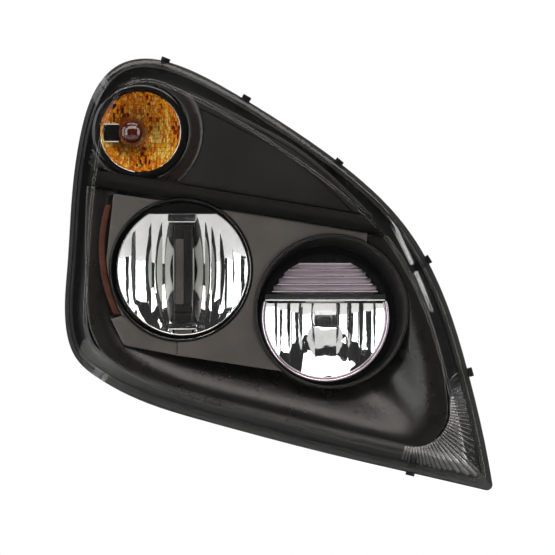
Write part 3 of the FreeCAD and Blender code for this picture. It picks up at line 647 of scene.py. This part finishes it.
def outline_loop(distance_in, count=720):
    """Lamp outline moved inwards, with its lower inboard corner kept on the bisector and rounded."""
    base = smooth_loop(OUTLINE + OUTLINE[:1], count, closed=False)[:-1]
    corner = np.array(OUTLINE[0], float)
    up = (base[12] - corner) / np.linalg.norm(base[12] - corner)
    along = (base[-12] - corner) / np.linalg.norm(base[-12] - corner)
    half = math.acos(up @ along) / 2
    bisector = (up + along) / np.linalg.norm(up + along)
    moved = inset(base, distance_in)[1:]
    tip = corner + bisector * distance_in / math.sin(half)
    ahead = (moved - tip) @ bisector
    lane = np.linalg.norm(moved - tip, axis=1)
    clear = (ahead > 0) & (ahead > lane * math.cos(half) * 0.985) | (lane > 60)
    loop = np.vstack([tip, moved[clear]])
    radius = 8.0
    trim = radius / math.tan(half)
    loop = loop[np.linalg.norm(loop - tip, axis=1) > trim]
    centre = tip + bisector * radius / math.sin(half)
    a0, a1 = [math.atan2(*(loop[k] - centre)[::-1]) for k in (-1, 0)]
    turn = (a1 - a0 + math.pi) % (2 * math.pi) - math.pi
    arc = centre + radius * np.column_stack([np.cos(a0 + turn * np.linspace(0.1, 0.9, 9)),
                                             np.sin(a0 + turn * np.linspace(0.1, 0.9, 9))])
    loop = np.vstack([arc, loop])
    closed = np.vstack([loop, loop[:1]])
    length = np.concatenate([[0], np.cumsum(np.hypot(*np.diff(closed, axis=0).T))])
    at = np.linspace(0, length[-1], count, endpoint=False)
    return np.column_stack([np.interp(at, length, closed[:, k]) for k in (0, 1)])


LENS_FACE_INSET = 33.0
LENS_PROFILE = [  # inset from the outline, depth behind the face
    (33, 0.0), (32, 0.2), (31, 0.9), (30.3, 2.2), (29.7, 4.6), (29, 8.0), (24, 20.0), (17, 36.0),
    (11, 48.0), (9, 52.0),
    (7.6, 53.0), (1.6, 53.0), (0.8, 54.0), (0.8, 57.0),
]


def lens_surface(thickness):
    """Rings of vertices from the middle of the face out to the foot; thickness moves the inner copy."""
    rings = []
    rim = outline_loop(LENS_FACE_INSET + thickness)
    middle = rim.mean(axis=0)
    for part in np.linspace(0.04, 1, 30)[:-1]:
        points = middle + part * (rim - middle)
        rings.append(np.column_stack([points[:, 0], bezel_face(*points.T) + thickness, points[:, 1]]))
    for distance_in, back in LENS_PROFILE:
        if thickness and distance_in < 9:
            continue
        points = outline_loop(distance_in + thickness)
        depth = lens_skin(*points.T, distance_in) + back + thickness
        rings.append(np.column_stack([points[:, 0], depth, points[:, 1]]))
    if thickness:
        points = outline_loop(12.2)
        rings.append(np.column_stack([points[:, 0], lens_face(*points.T) + 57, points[:, 1]]))
    return rings


def build_lens():
    count = 720
    verts, faces = [], []
    rims = []
    for thickness in (0.0, 3.0):
        rings = lens_surface(thickness)
        base = len(verts)
        for ring in rings:
            verts.extend(map(tuple, ring))
        faces += grid_faces(len(rings), count, wrap_columns=True, offset=base)
        first = np.mean(rings[0], axis=0)
        verts.append(tuple(first))
        faces += [(len(verts) - 1, base + j, base + (j + 1) % count) for j in range(count)]
        rims.append(base + (len(rings) - 1) * count)
    for j in range(count):
        k = (j + 1) % count
        faces.append((rims[0] + j, rims[0] + k, rims[1] + k, rims[1] + j))
    lens = mesh_object("clear_lens", verts, faces, MAT["lens"], 40)
    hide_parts("outer_lens")
    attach(lens, "housing")
    return lens


def build_reeds():
    """Fan of moulded flutes inside the lower inboard corner of the lens, running down its side wall."""
    centre = np.array([190.0, -190.0])
    edge = outline_loop(0.0)
    limit = outline_loop(13.0)
    inset_at, back_at = zip(*sorted(LENS_PROFILE[:10]))
    verts, faces = [], []
    flutes = 36
    across = np.linspace(0, 1, 7)
    hump = np.sin(across * math.pi) * 1.3
    for k in range(flutes):
        angles = np.radians(-104 + 146 * (k + across * 0.72) / flutes)
        first = 50 + max(0.0, math.degrees(angles[3]) - 10) * 0.5
        rows = []
        for r in np.arange(first, 220, 4.0):
            points = centre + r * np.column_stack([np.cos(angles), np.sin(angles)])
            if not inside(points, limit).all():
                break
            back = np.interp(distance(points, edge), inset_at, back_at)
            y = bezel_face(*points.T) + back + 4.6 - hump * min(1.0, (r - first) / 8 + 0.3)
            rows.append(np.column_stack([points[:, 0], y, points[:, 1]]))
        if len(rows) < 2:
            continue
        base = len(verts)
        for row in rows:
            verts.extend(map(tuple, row))
        faces += grid_faces(len(rows), 7, offset=base)
    reeds = mesh_object("lens_reeds", verts, faces, MAT["reeds"], 60)
    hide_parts("outer_lens")
    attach(reeds, "housing")


# ---- bezel ----

RIM = smooth_loop(BEZEL, 520)


def lip_depth(x, z, base):
    """Stepped lip that runs round the bezel, read from the distance to its edge."""
    points = np.column_stack([np.ravel(x), np.ravel(z)])
    d = distance(points, RIM)
    step = np.interp(d, [0, 5, 7, 15, 17.5, 30], [-7, -7, -3.5, -3.0, 0.5, 0.5])
    return bezel_face(x, z) + base + step


def rim_rings(offsets):
    return np.vstack([inset(RIM, d) for d in offsets])


def in_bezel(p):
    return inside(p, RIM)


def build_upper_bezel():
    left, right = (band_height(x, BAND_TOP_Z + 0.8) for x in (-400, 400))
    top_line = rounded([(-400, left), (400, right), (400, 500), (-400, 500)], 0)
    pod = circle(TURN, 88)
    loops = region_loops([RIM, respaced(top_line, 6), pod],
                         lambda p: in_bezel(p) & inside(p, top_line) & ~inside(p, pod))
    pieces = []
    for index, loop in enumerate(loops[:2]):
        if abs(area(loop)) < 60:
            continue
        piece = panel(f"upper_panel_{index}", [loop], lambda x, z: lip_depth(x, z, 28),
                      MAT["bezel"], 6.0, 1.6, 22.0, rim_rings([5, 7, 11, 15, 17.5]))
        pieces.append(piece)
    return pieces


def build_pod():
    """Conical well that the turn signal sits in, cut off at the bezel edge and at the band."""
    verts, faces = [], []
    angles = np.radians(np.arange(0, 360, 2.5))
    radii = np.array([88.6, 88, 86.5, 82, 77, 72.5, 70.2, 69.5])
    blend = np.array([0, 0.0, 0.06, 0.3, 0.62, 0.9, 0.985, 1.0])
    for a in angles:
        for r, part in zip(radii, blend):
            x, z = TURN[0] + r * math.cos(a), TURN[1] + r * math.sin(a)
            y = (bezel_face(x, z) + 28.5) * (1 - part) + (TURN_RIM_Y - 4) * part
            verts.append((x, y, z))
    quads = grid_faces(len(angles), len(radii), wrap_rows=True)
    p = np.array([(v[0], v[2]) for v in verts])
    ok = in_bezel(p) & (p[:, 1] > band_height(p[:, 0], BAND_TOP_Z + 1.5))
    faces = [q for q in quads if all(ok[i] for i in q)]
    pod = mesh_object("turn_pod", verts, faces, MAT["tray"], 50)
    solid = pod.modifiers.new("wall", "SOLIDIFY")
    solid.thickness = 0.0022
    solid.offset = -1
    return [pod]


def build_band():
    lines = rounded([(-400, band_height(-400, BAND_TOP_Z)), (400, band_height(400, BAND_TOP_Z)),
                     (400, band_height(400, BAND_LOW_Z)), (-400, band_height(-400, BAND_LOW_Z))], 0)
    edge = inset(RIM, 3.0)
    opening = circle(LOW_OPENING, LOW_OPENING_R + 1.5)
    loops = region_loops([edge, respaced(lines, 6), opening],
                         lambda p: inside(p, edge) & inside(p, lines) & ~inside(p, opening))

    def depth(x, z):
        across = (band_height(x, BAND_TOP_Z) - z) / (BAND_TOP_Z - BAND_LOW_Z)
        return bezel_face(x, z) + 14 + np.interp(across, [0, 0.42, 0.5, 0.95, 1.0], [4.5, 0.6, 0, 0, 0.5])

    return [panel("eyebrow_band", loops[:1], depth, MAT["band"], 6.0, 1.8, 14.0)]


def build_plate():
    outer = rounded([(p[0], p[1]) for p in PLATE], [3, 30, 30, 6, 3, 10, 5, 5, 5])
    top = rounded([(-400, band_height(-400, BAND_LOW_Z - 0.8)), (400, band_height(400, BAND_LOW_Z - 0.8)),
                   (400, -400), (-400, -400)], 0)
    low, tube = circle(LOW_OPENING, LOW_OPENING_R, 120), circle(TUBE_MOUTH, 107.5, 120)
    strip = strip_loop(0.8)
    keep_right = [(-139.0, -400.0), (400, -400), (400, 400), (-139, 400)]
    split = np.array(keep_right, float)
    pieces = []
    for name, side in (("plate_inboard", True), ("plate_outboard", False)):
        loops = region_loops(
            [outer, respaced(top, 6), low, tube, strip, respaced(split, 8)],
            lambda p, side=side: inside(p, outer) & inside(p, top) & ~inside(p, low) & ~inside(p, tube)
            & ~inside(p, strip) & ((inside(p, split) == side) | (p[:, 1] > -60)) & (side | (p[:, 1] <= -60)))
        back = 20.0 if side else 21.2
        good = [loop for loop in loops if abs(area(loop)) > 120]
        for index, loop in enumerate(good):
            pieces.append(panel(f"{name}_{index}", [inset(loop, 0.3)],
                                lambda x, z, b=back: bezel_face(x, z) + b,
                                MAT["plate"], 6.0, 1.5, 12.0))
    return pieces


def strip_loop(gap):
    """Curved amber strip beside the low beam."""
    z0, z1 = -57 - gap, 97 + gap
    sides = []
    for r in (STRIP_OUTER + gap, STRIP_INNER - gap):
        a0 = 180 - math.degrees(math.asin((z1 - STRIP[1]) / r))
        a1 = 180 - math.degrees(math.asin((z0 - STRIP[1]) / r))
        sides.append(circle(STRIP, r, 50, a0, a1))
    return np.vstack([sides[0], sides[1][::-1]])


def build_strip():
    piece = panel("amber_strip", [strip_loop(0)], lambda x, z: bezel_face(x, z) + 19,
                  MAT["amber_strip"], 4.0, 2.0, 5.0)
    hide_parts("side_reflector")
    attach(piece, "housing")


def tray_depth(x, z):
    """Scoop below the plate: a band that follows the bezel face near its edge, then a hollow that falls back
    inwards.
    """
    points = np.column_stack([np.ravel(x), np.ravel(z)])
    d = soft_distance(points, RIM)
    ramp_in = np.clip((d - 14) / 74, 0, 1)
    return bezel_face(x, z) + 22 + 35 * ramp_in ** 2 * (3 - 2 * ramp_in)


def build_tray():
    plate = rounded([(p[0], p[1]) for p in PLATE] + [(-229, 130)], 0)
    top = np.array([(-400, band_height(-400, BAND_LOW_Z - 1)), (400, band_height(400, BAND_LOW_Z - 1)),
                    (400, -400), (-400, -400)], float)
    tube = circle(TUBE_MOUTH, 107.3, 120)
    inner_plate = inset(respaced(plate, 6), 4.0)
    loops = region_loops([RIM, respaced(top, 6), tube, inner_plate],
                         lambda p: in_bezel(p) & inside(p, top) & ~inside(p, tube) & ~inside(p, inner_plate))
    return [panel("skirt_tray", loops[:1], tray_depth, MAT["tray"], 3.4, 1.6, 20.0, sharp=60.0)]


def build_tube():
    """Tube round the high beam, from its rolled mouth back to the module."""
    verts = []
    rows = [
        (-1.2, 0.6, 0), (-0.4, 0.1, 0), (0.6, 0, 0), (1.8, 0.4, 0), (2.6, 1.6, 0), (2.8, 4, 0),
        (2.8, 30, 1),
    ]
    inner = [(-1.2, 0.6), (-1.6, 2.0), (-1.2, 9), (-1.0, 18), (-0.8, 26), (0, 34)]
    profile = [(r, y) for r, y in reversed(inner)] + [(r, y) for r, y, _ in rows]
    angles = np.radians(np.linspace(0, 360, 144, endpoint=False))
    for a in angles:
        for dr, dy in profile:
            t = min(1.0, dy / 34.0)
            cx = TUBE_MOUTH[0] * (1 - t) + TUBE_BASE[0] * t
            cz = TUBE_MOUTH[1] * (1 - t) + TUBE_BASE[1] * t
            r = TUBE_MOUTH_R * (1 - t) + TUBE_BASE_R * t + dr + 1.2
            verts.append((cx + r * math.cos(a), TUBE_MOUTH_Y + dy, cz + r * math.sin(a)))
    faces = grid_faces(len(angles), len(profile), wrap_columns=True, wrap_rows=True)
    tube = mesh_object("beam_tube", verts, faces, MAT["bezel"], 50)
    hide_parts("high_beam_tube")
    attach(tube, "housing")


def build_low_ring():
    """Black ring inside the low-beam opening, following the tilt of the plate."""
    angles = np.radians(np.linspace(0, 360, 144, endpoint=False))
    profile = [
        (99.8, 19.5), (99.4, 18.3), (98.4, 18.0), (97.2, 18.6), (96.9, 20.5), (96.8, 30),
        (96.8, 40), (99.8, 40),
    ]
    verts = []
    for a in angles:
        for r, back in profile:
            x, z = LOW_OPENING[0] + r * math.cos(a), LOW_OPENING[1] + r * math.sin(a)
            y = min(bezel_face(x, z) + back, -198.0) if back < 39 else -198.0
            verts.append((x, y, z))
    faces = grid_faces(len(angles), len(profile), wrap_columns=True, wrap_rows=True)
    ring = mesh_object("low_ring", verts, faces, MAT["gloss"], 50)
    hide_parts("low_beam_ring")
    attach(ring, "housing")


def stand_for(pieces, nodes):
    for piece in pieces:
        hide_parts(*nodes)
        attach(piece, "housing")


# ---- reflectors ----

BOWL_POWER = 0.66  # 1 is a paraboloid, 0.5 a cone

def fluted_bowl(name, centre, rim_r, rim_y, apex_y, seams, zlow, zhigh, hump, material, gap=None, thick=1.6):
    """Parabolic bowl made of upright flutes between the seams, cut by the circle and the z limits.

    gap is an x interval left open for the light-source blade.
    """
    depth = apex_y - rim_y
    verts, faces = [], []
    for left, right in zip(seams[:-1], seams[1:]):
        if gap and left >= gap[0] - 0.1 and right <= gap[1] + 0.1:
            continue
        xs = np.linspace(left, right, 8)
        t = (xs - left) / (right - left)
        square = left ** 2 * (1 - t) + right ** 2 * t + hump * (right - left) * t * (1 - t) * rim_r * 0.35
        for sheet in (0, 1):
            base = len(verts)
            for x, sq in zip(xs, square):
                reach = math.sqrt(max(rim_r ** 2 - x ** 2, 0.01))
                z0, z1 = max(-reach, zlow), min(reach, zhigh)
                for z in np.linspace(z0, z1, 26):
                    y = apex_y - depth * min(1.0, (sq + z * z) / rim_r ** 2) ** BOWL_POWER
                    verts.append((centre[0] + x, y + sheet * thick, centre[1] + z))
            faces += grid_faces(len(xs), 26, offset=base)
    obj = mesh_object(name, verts, faces, material, 14)
    return obj


def mosaic_bowl(name, centre, rim_r, rim_y, apex_y, wide, high, material):
    """Bowl paved with small pillowed facets, each turned a little its own way."""
    tilt = np.random.RandomState(11)
    depth = apex_y - rim_y
    verts, faces = [], []
    for i in range(-int(rim_r / wide) - 1, int(rim_r / wide) + 1):
        column_tilt = tilt.uniform(-0.16, 0.16)
        for j in range(-int(rim_r / high) - 1, int(rim_r / high) + 1):
            lean_x, lean_z = column_tilt + tilt.uniform(-0.1, 0.1), tilt.uniform(-0.14, 0.14)
            base = len(verts)
            for a in (0.0, 0.33, 0.67, 1.0):
                for b in (0.0, 0.33, 0.67, 1.0):
                    x, z = (i + a) * wide, (j + b) * high
                    reach = math.hypot(x, z)
                    fit = min(1.0, rim_r / max(reach, 0.01))
                    pillow = 0.5 * (a - a * a) + 0.3 * (b - b * b)
                    y = apex_y - depth * min(1.0, (x * x + z * z) / rim_r ** 2)
                    y += (lean_x * (a - 0.5) * wide + lean_z * (b - 0.5) * high) * 0.8 - pillow
                    verts.append((centre[0] + x * fit, min(y, apex_y), centre[1] + z * fit))
            if min(math.hypot((i + a) * wide, (j + b) * high) for a in (0, 1) for b in (0, 1)) < rim_r:
                faces += grid_faces(4, 4, offset=base)
    return mesh_object(name, verts, faces, material, 20)


LOW_SEAMS = [-92, -66, -44, -29, -14.5, 16.5, 31, 40, 52, 70, 92]
HIGH_SEAMS = [-83.5, -65, -47, -31, -14, 16, 31, 47, 66, 83.5]


def build_low_module():
    bowl = fluted_bowl("low_mirror", LOW, LOW_R, LOW_RIM_Y, LOW_APEX_Y, LOW_SEAMS, -91, 79, 0.9,
                       MAT["chrome"], (-14.5, 16.5))
    cx, cz = LOW
    top = boxes("low_mirror_roof", [
        (cx - 50, cx + 50, LOW_RIM_Y, LOW_RIM_Y + 22, cz + 77.5, cz + 79),
    ], MAT["chrome"], 0.3)
    rim = lathe("low_mirror_rim", LOW, bead(91.4, LOW_RIM_Y + 0.5, 1.4), MAT["chrome"], 120, 121, 419)
    for piece in (bowl, top, rim):
        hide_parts("low_reflector")
        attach(piece, "low_beam_module")
    y0 = LOW_RIM_Y + 2
    blade = boxes("low_blade", [
        (cx - 12, cx + 14, y0 + 3, LOW_APEX_Y + 4, cz - 59, cz + 63),
        (cx + 2, cx + 13, y0, y0 + 8, cz - 52, cz + 55),
        (cx - 11, cx + 12, y0 + 1, y0 + 12, cz - 73, cz - 62),
    ], MAT["bezel"], 1.2)
    light = boxes("low_blade_face", [
        (cx - 10, cx + 1.5, y0 + 0.5, y0 + 6, cz - 48, cz + 43),
    ], MAT["plate"], 0.8)
    tabs = boxes("low_blade_tabs", [
        (cx - 20, cx + 19, y0 - 1, y0 + 14, cz - 85, cz - 75),
        (cx - 21, cx + 18, y0 - 1, y0 + 14, cz + 66, cz + 77),
    ], MAT["chrome"], 2.0)
    for piece, slot in ((blade, "cast_aluminium"), (light, "cast_aluminium"), (tabs, "bright_chrome")):
        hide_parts("low_led_blade")
        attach(piece, "low_beam_module")

    shield = lathe("low_shield", LOW, [
        (92.9, -196), (94.0, -196), (94.2, -190), (95.5, -188.5), (102, -187.6), (102, -186.1),
        (94.8, -186.8), (93.2, -188.6),
    ], MAT["gloss"], 120)
    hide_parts("low_reflector")
    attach(shield, "low_beam_module")


def build_high_module():
    cx, cz = HIGH
    y0 = HIGH_RIM_Y
    shield = lathe("high_shield", HIGH, [
        (86, -217), (88.4, -217), (88.8, -208), (90, -206.4), (110, -205), (110, -203.4),
        (89, -204.6), (86.6, -206.6),
    ], MAT["gloss"], 120)
    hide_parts("high_trim_ring")
    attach(shield, "high_beam_module")
    bowl = fluted_bowl("high_mirror", HIGH, HIGH_R, HIGH_RIM_Y, HIGH_APEX_Y, HIGH_SEAMS, -83, 20, 0.16,
                       MAT["chrome"])
    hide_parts("high_reflector")
    ring = lathe("high_ring", HIGH, bead(88.0, y0 - 0.8, 2.2), MAT["rose_chrome"], 120, 165, 375)
    lip = lathe("high_ring_lip", HIGH, bead(84.2, y0 + 0.4, 1.2), MAT["rose_chrome"], 120, 165, 375)
    for piece in (ring, lip):
        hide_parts("high_trim_ring")
    blades, fields = [], []
    for z in (36.0, 46.0, 56.0, 66.0, 75.0):
        reach = 74 - 29 * (z - 36) / 39
        blades.append((cx - reach, cx + reach, y0, y0 + 12, cz + z, cz + z + 2.2))
        if z < 75:
            fields.append((cx - reach + 2, cx + reach - 2, y0 + 6, y0 + 14, cz + z + 2.2, cz + z + 9.2))
    louvres = boxes("running_light_louvres", blades, MAT["rose_chrome"], 0.8)
    steps = boxes("running_light_steps", fields, MAT["rose_satin"], 2.0)
    for piece in (louvres, steps):
        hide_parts("drl_louvres")
    bar = boxes("high_bar", [(cx - 84, cx + 84, y0 - 3, y0 + 20, cz + 23.5, cz + 33)], MAT["chrome"], 1.6)
    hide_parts("high_cross_bar")
    for piece in (bowl, ring, lip, louvres, steps, bar):
        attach(piece, "high_beam_module")


def build_turn_signal():
    # The amber glints on this mirror are a painted reflection of the bulb, carried in its material.
    bowl = mosaic_bowl("turn_mirror", TURN, TURN_R - 0.6, TURN_RIM_Y, TURN_APEX_Y, 4.4, 6.2,
                       MAT["painted_amber_reflection"])
    section = bead(57.0, TURN_RIM_Y, 0.8)
    rims = [lathe("turn_mirror_rim_right", TURN, section, MAT["chrome"], 60, -60, 45),
            lathe("turn_mirror_rim_left", TURN, section, MAT["chrome"], 50, 190, 262)]
    for piece in [bowl] + rims:
        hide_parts("turn_reflector")
        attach(piece, "housing")
    x0, x1 = TURN[0] - 60, BULB[0] - 19
    # A gloss black block fills the reflector's side slot: painted shade of the opening.
    slot = boxes("turn_slot", [(x0, x1, -166, -135, BULB[1] - 12, BULB[1] + 11)], MAT["gloss"], 1.2)
    # White board strips along the slot's top and bottom edges are painted highlights that stand for the
    # glints of its chrome edges.
    edges = boxes("turn_slot_painted_glints", [
        (x0 + 3, x1, -167.2, -135, BULB[1] + 11, BULB[1] + 12.4),
        (x0 + 3, x1, -167.2, -135, BULB[1] - 13.4, BULB[1] - 12),
    ], MAT["board"], 0.4)
    for piece, name in ((slot, "gloss_black"), (edges, "bright_chrome")):
        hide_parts("turn_reflector")
        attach(piece, "housing")
    y = TURN_RIM_Y
    ring = lathe("turn_ring", TURN, [
        (58.1, y + 3), (58.2, y - 4), (59.5, y - 5.6), (62, y - 6), (66, y - 5), (68.6, y - 2.4),
        (69.4, y + 1), (69.4, y + 3),
    ], MAT["gloss"], 120)
    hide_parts("turn_trim_ring")
    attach(ring, "housing")
    dome_y = -158.0
    outer = [(21 * math.sin(a), dome_y - 21 * math.cos(a)) for a in np.radians([0.5, 15, 30, 45, 60, 75, 90])]
    angles = np.radians([90, 75, 60, 45, 30, 15, 0.5])
    inner = [(19.2 * math.sin(a), dome_y - 19.2 * math.cos(a)) for a in angles]
    cover = lathe("bulb_cover", BULB, outer + [(21, -113), (19.2, -113)] + inner, MAT["amber_bulb"], 64)
    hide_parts("turn_bulb_cover")
    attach(cover, "housing")


# ---- studio ----

def seen_or_lit(tree, seen, lit, share):
    """Mixes what the camera sees directly with what lights the object."""
    path = tree.nodes.new("ShaderNodeLightPath")
    weight = tree.nodes.new("ShaderNodeMath")
    weight.operation = "MULTIPLY"
    weight.inputs[1].default_value = share
    mix = tree.nodes.new("ShaderNodeMixShader")
    tree.links.new(path.outputs["Is Camera Ray"], weight.inputs[0])
    tree.links.new(weight.outputs["Value"], mix.inputs["Fac"])
    tree.links.new(lit, mix.inputs[1])
    tree.links.new(seen, mix.inputs[2])
    return mix.outputs["Shader"]


def build_studio():
    """Pale floor and pale surroundings, so the lamp stands on seamless paper."""
    floor_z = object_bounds()[0][2] - 0.002
    mesh = bpy.data.meshes.new("studio_floor")
    edge = 1.3
    corners = [(-edge, -edge), (edge, -edge), (edge, edge), (-edge, edge)]
    mesh.from_pydata([(x, y, floor_z) for x, y in corners], [], [(0, 1, 2, 3)])
    floor = bpy.data.objects.new("studio_floor", mesh)
    bpy.context.collection.objects.link(floor)
    mat, nodes, links, shader = new_material("studio_paper", Base_Color=(0.8, 0.8, 0.8, 1), Roughness=0.9)
    glow = nodes.new("ShaderNodeEmission")
    glow.inputs["Color"].default_value = (1, 1, 1, 1)
    glow.inputs["Strength"].default_value = 1.12
    out = seen_or_lit(mat.node_tree, glow.outputs["Emission"], shader.outputs["BSDF"], 0.92)
    links.new(out, nodes["Material Output"].inputs["Surface"])
    mesh.materials.append(mat)

    world = bpy.data.worlds.new("studio")
    world.use_nodes = True
    tree = world.node_tree
    lit = tree.nodes["Background"]
    lit.inputs["Color"].default_value = (0.03, 0.03, 0.03, 1)
    seen = tree.nodes.new("ShaderNodeBackground")
    seen.inputs["Color"].default_value = (1, 1, 1, 1)
    out = seen_or_lit(tree, seen.outputs["Background"], lit.outputs["Background"], 1.0)
    tree.links.new(out, tree.nodes["World Output"].inputs["Surface"])
    bpy.context.scene.world = world


def area_light(name, location, width, height, brightness, colour=(1, 1, 1)):
    """Soft panel aimed at the lamp; brightness is what a mirror shows of it."""
    data = bpy.data.lights.new(name, "AREA")
    data.shape = "RECTANGLE"
    data.size, data.size_y = width, height
    data.energy = brightness * math.pi * width * height
    data.color = colour
    lamp = bpy.data.objects.new(name, data)
    lamp.location = location
    aim = Vector((0.03, -0.2, 0.04)) - Vector(location)
    lamp.rotation_euler = aim.to_track_quat("-Z", "Y").to_euler()
    lamp.visible_camera = False
    bpy.context.collection.objects.link(lamp)


def build_lights():
    """Softboxes round the lamp, to both sides and above, and one thin light behind its inboard edge."""
    area_light("left_softbox", (-1.60, -1.52, 0.3), 0.8, 2.4, 3.2)
    area_light("left_panel", (-2.04, -0.50, 0.3), 1.0, 2.4, 2.6)
    area_light("right_softbox", (1.66, -1.52, 0.3), 0.8, 2.4, 3.4)
    area_light("right_panel", (2.10, -0.50, 0.3), 1.0, 2.4, 2.6)
    area_light("top_softbox", (0.0, -1.62, 1.55), 2.4, 0.8, 4.2, (1.0, 0.94, 0.88))
    area_light("top_panel", (0.0, -0.50, 2.1), 2.4, 1.0, 2.6, (1.0, 0.97, 0.95))
    area_light("rim_right", (1.4, 1.05, 0.85), 0.05, 0.8, 9.0)


def build_camera():
    width, reach, plane_y = 0.777, 8.0, -0.2
    data = bpy.data.cameras.new("camera")
    data.sensor_width = 36.0
    data.lens = 36.0 * reach / width
    data.clip_end = 60
    camera = bpy.data.objects.new("camera", data)
    x, _, z = place(0.7, 0, -4.9)
    camera.location = (x, plane_y - reach, z)
    camera.rotation_euler = (math.radians(90), 0, 0)
    bpy.context.collection.objects.link(camera)
    bpy.context.scene.camera = camera


give_cad_materials()
build_lens()
build_reeds()
stand_for(build_upper_bezel() + build_pod(), ["upper_bezel"])
stand_for(build_band(), ["eyebrow_trim"])
stand_for(build_plate(), ["main_bezel"])
stand_for(build_tray(), ["lower_skirt"])
build_tube()
build_low_ring()
build_strip()
build_low_module()
build_high_module()
build_turn_signal()
build_studio()
build_lights()
build_camera()
bpy.context.scene.view_settings.view_transform = "Standard"
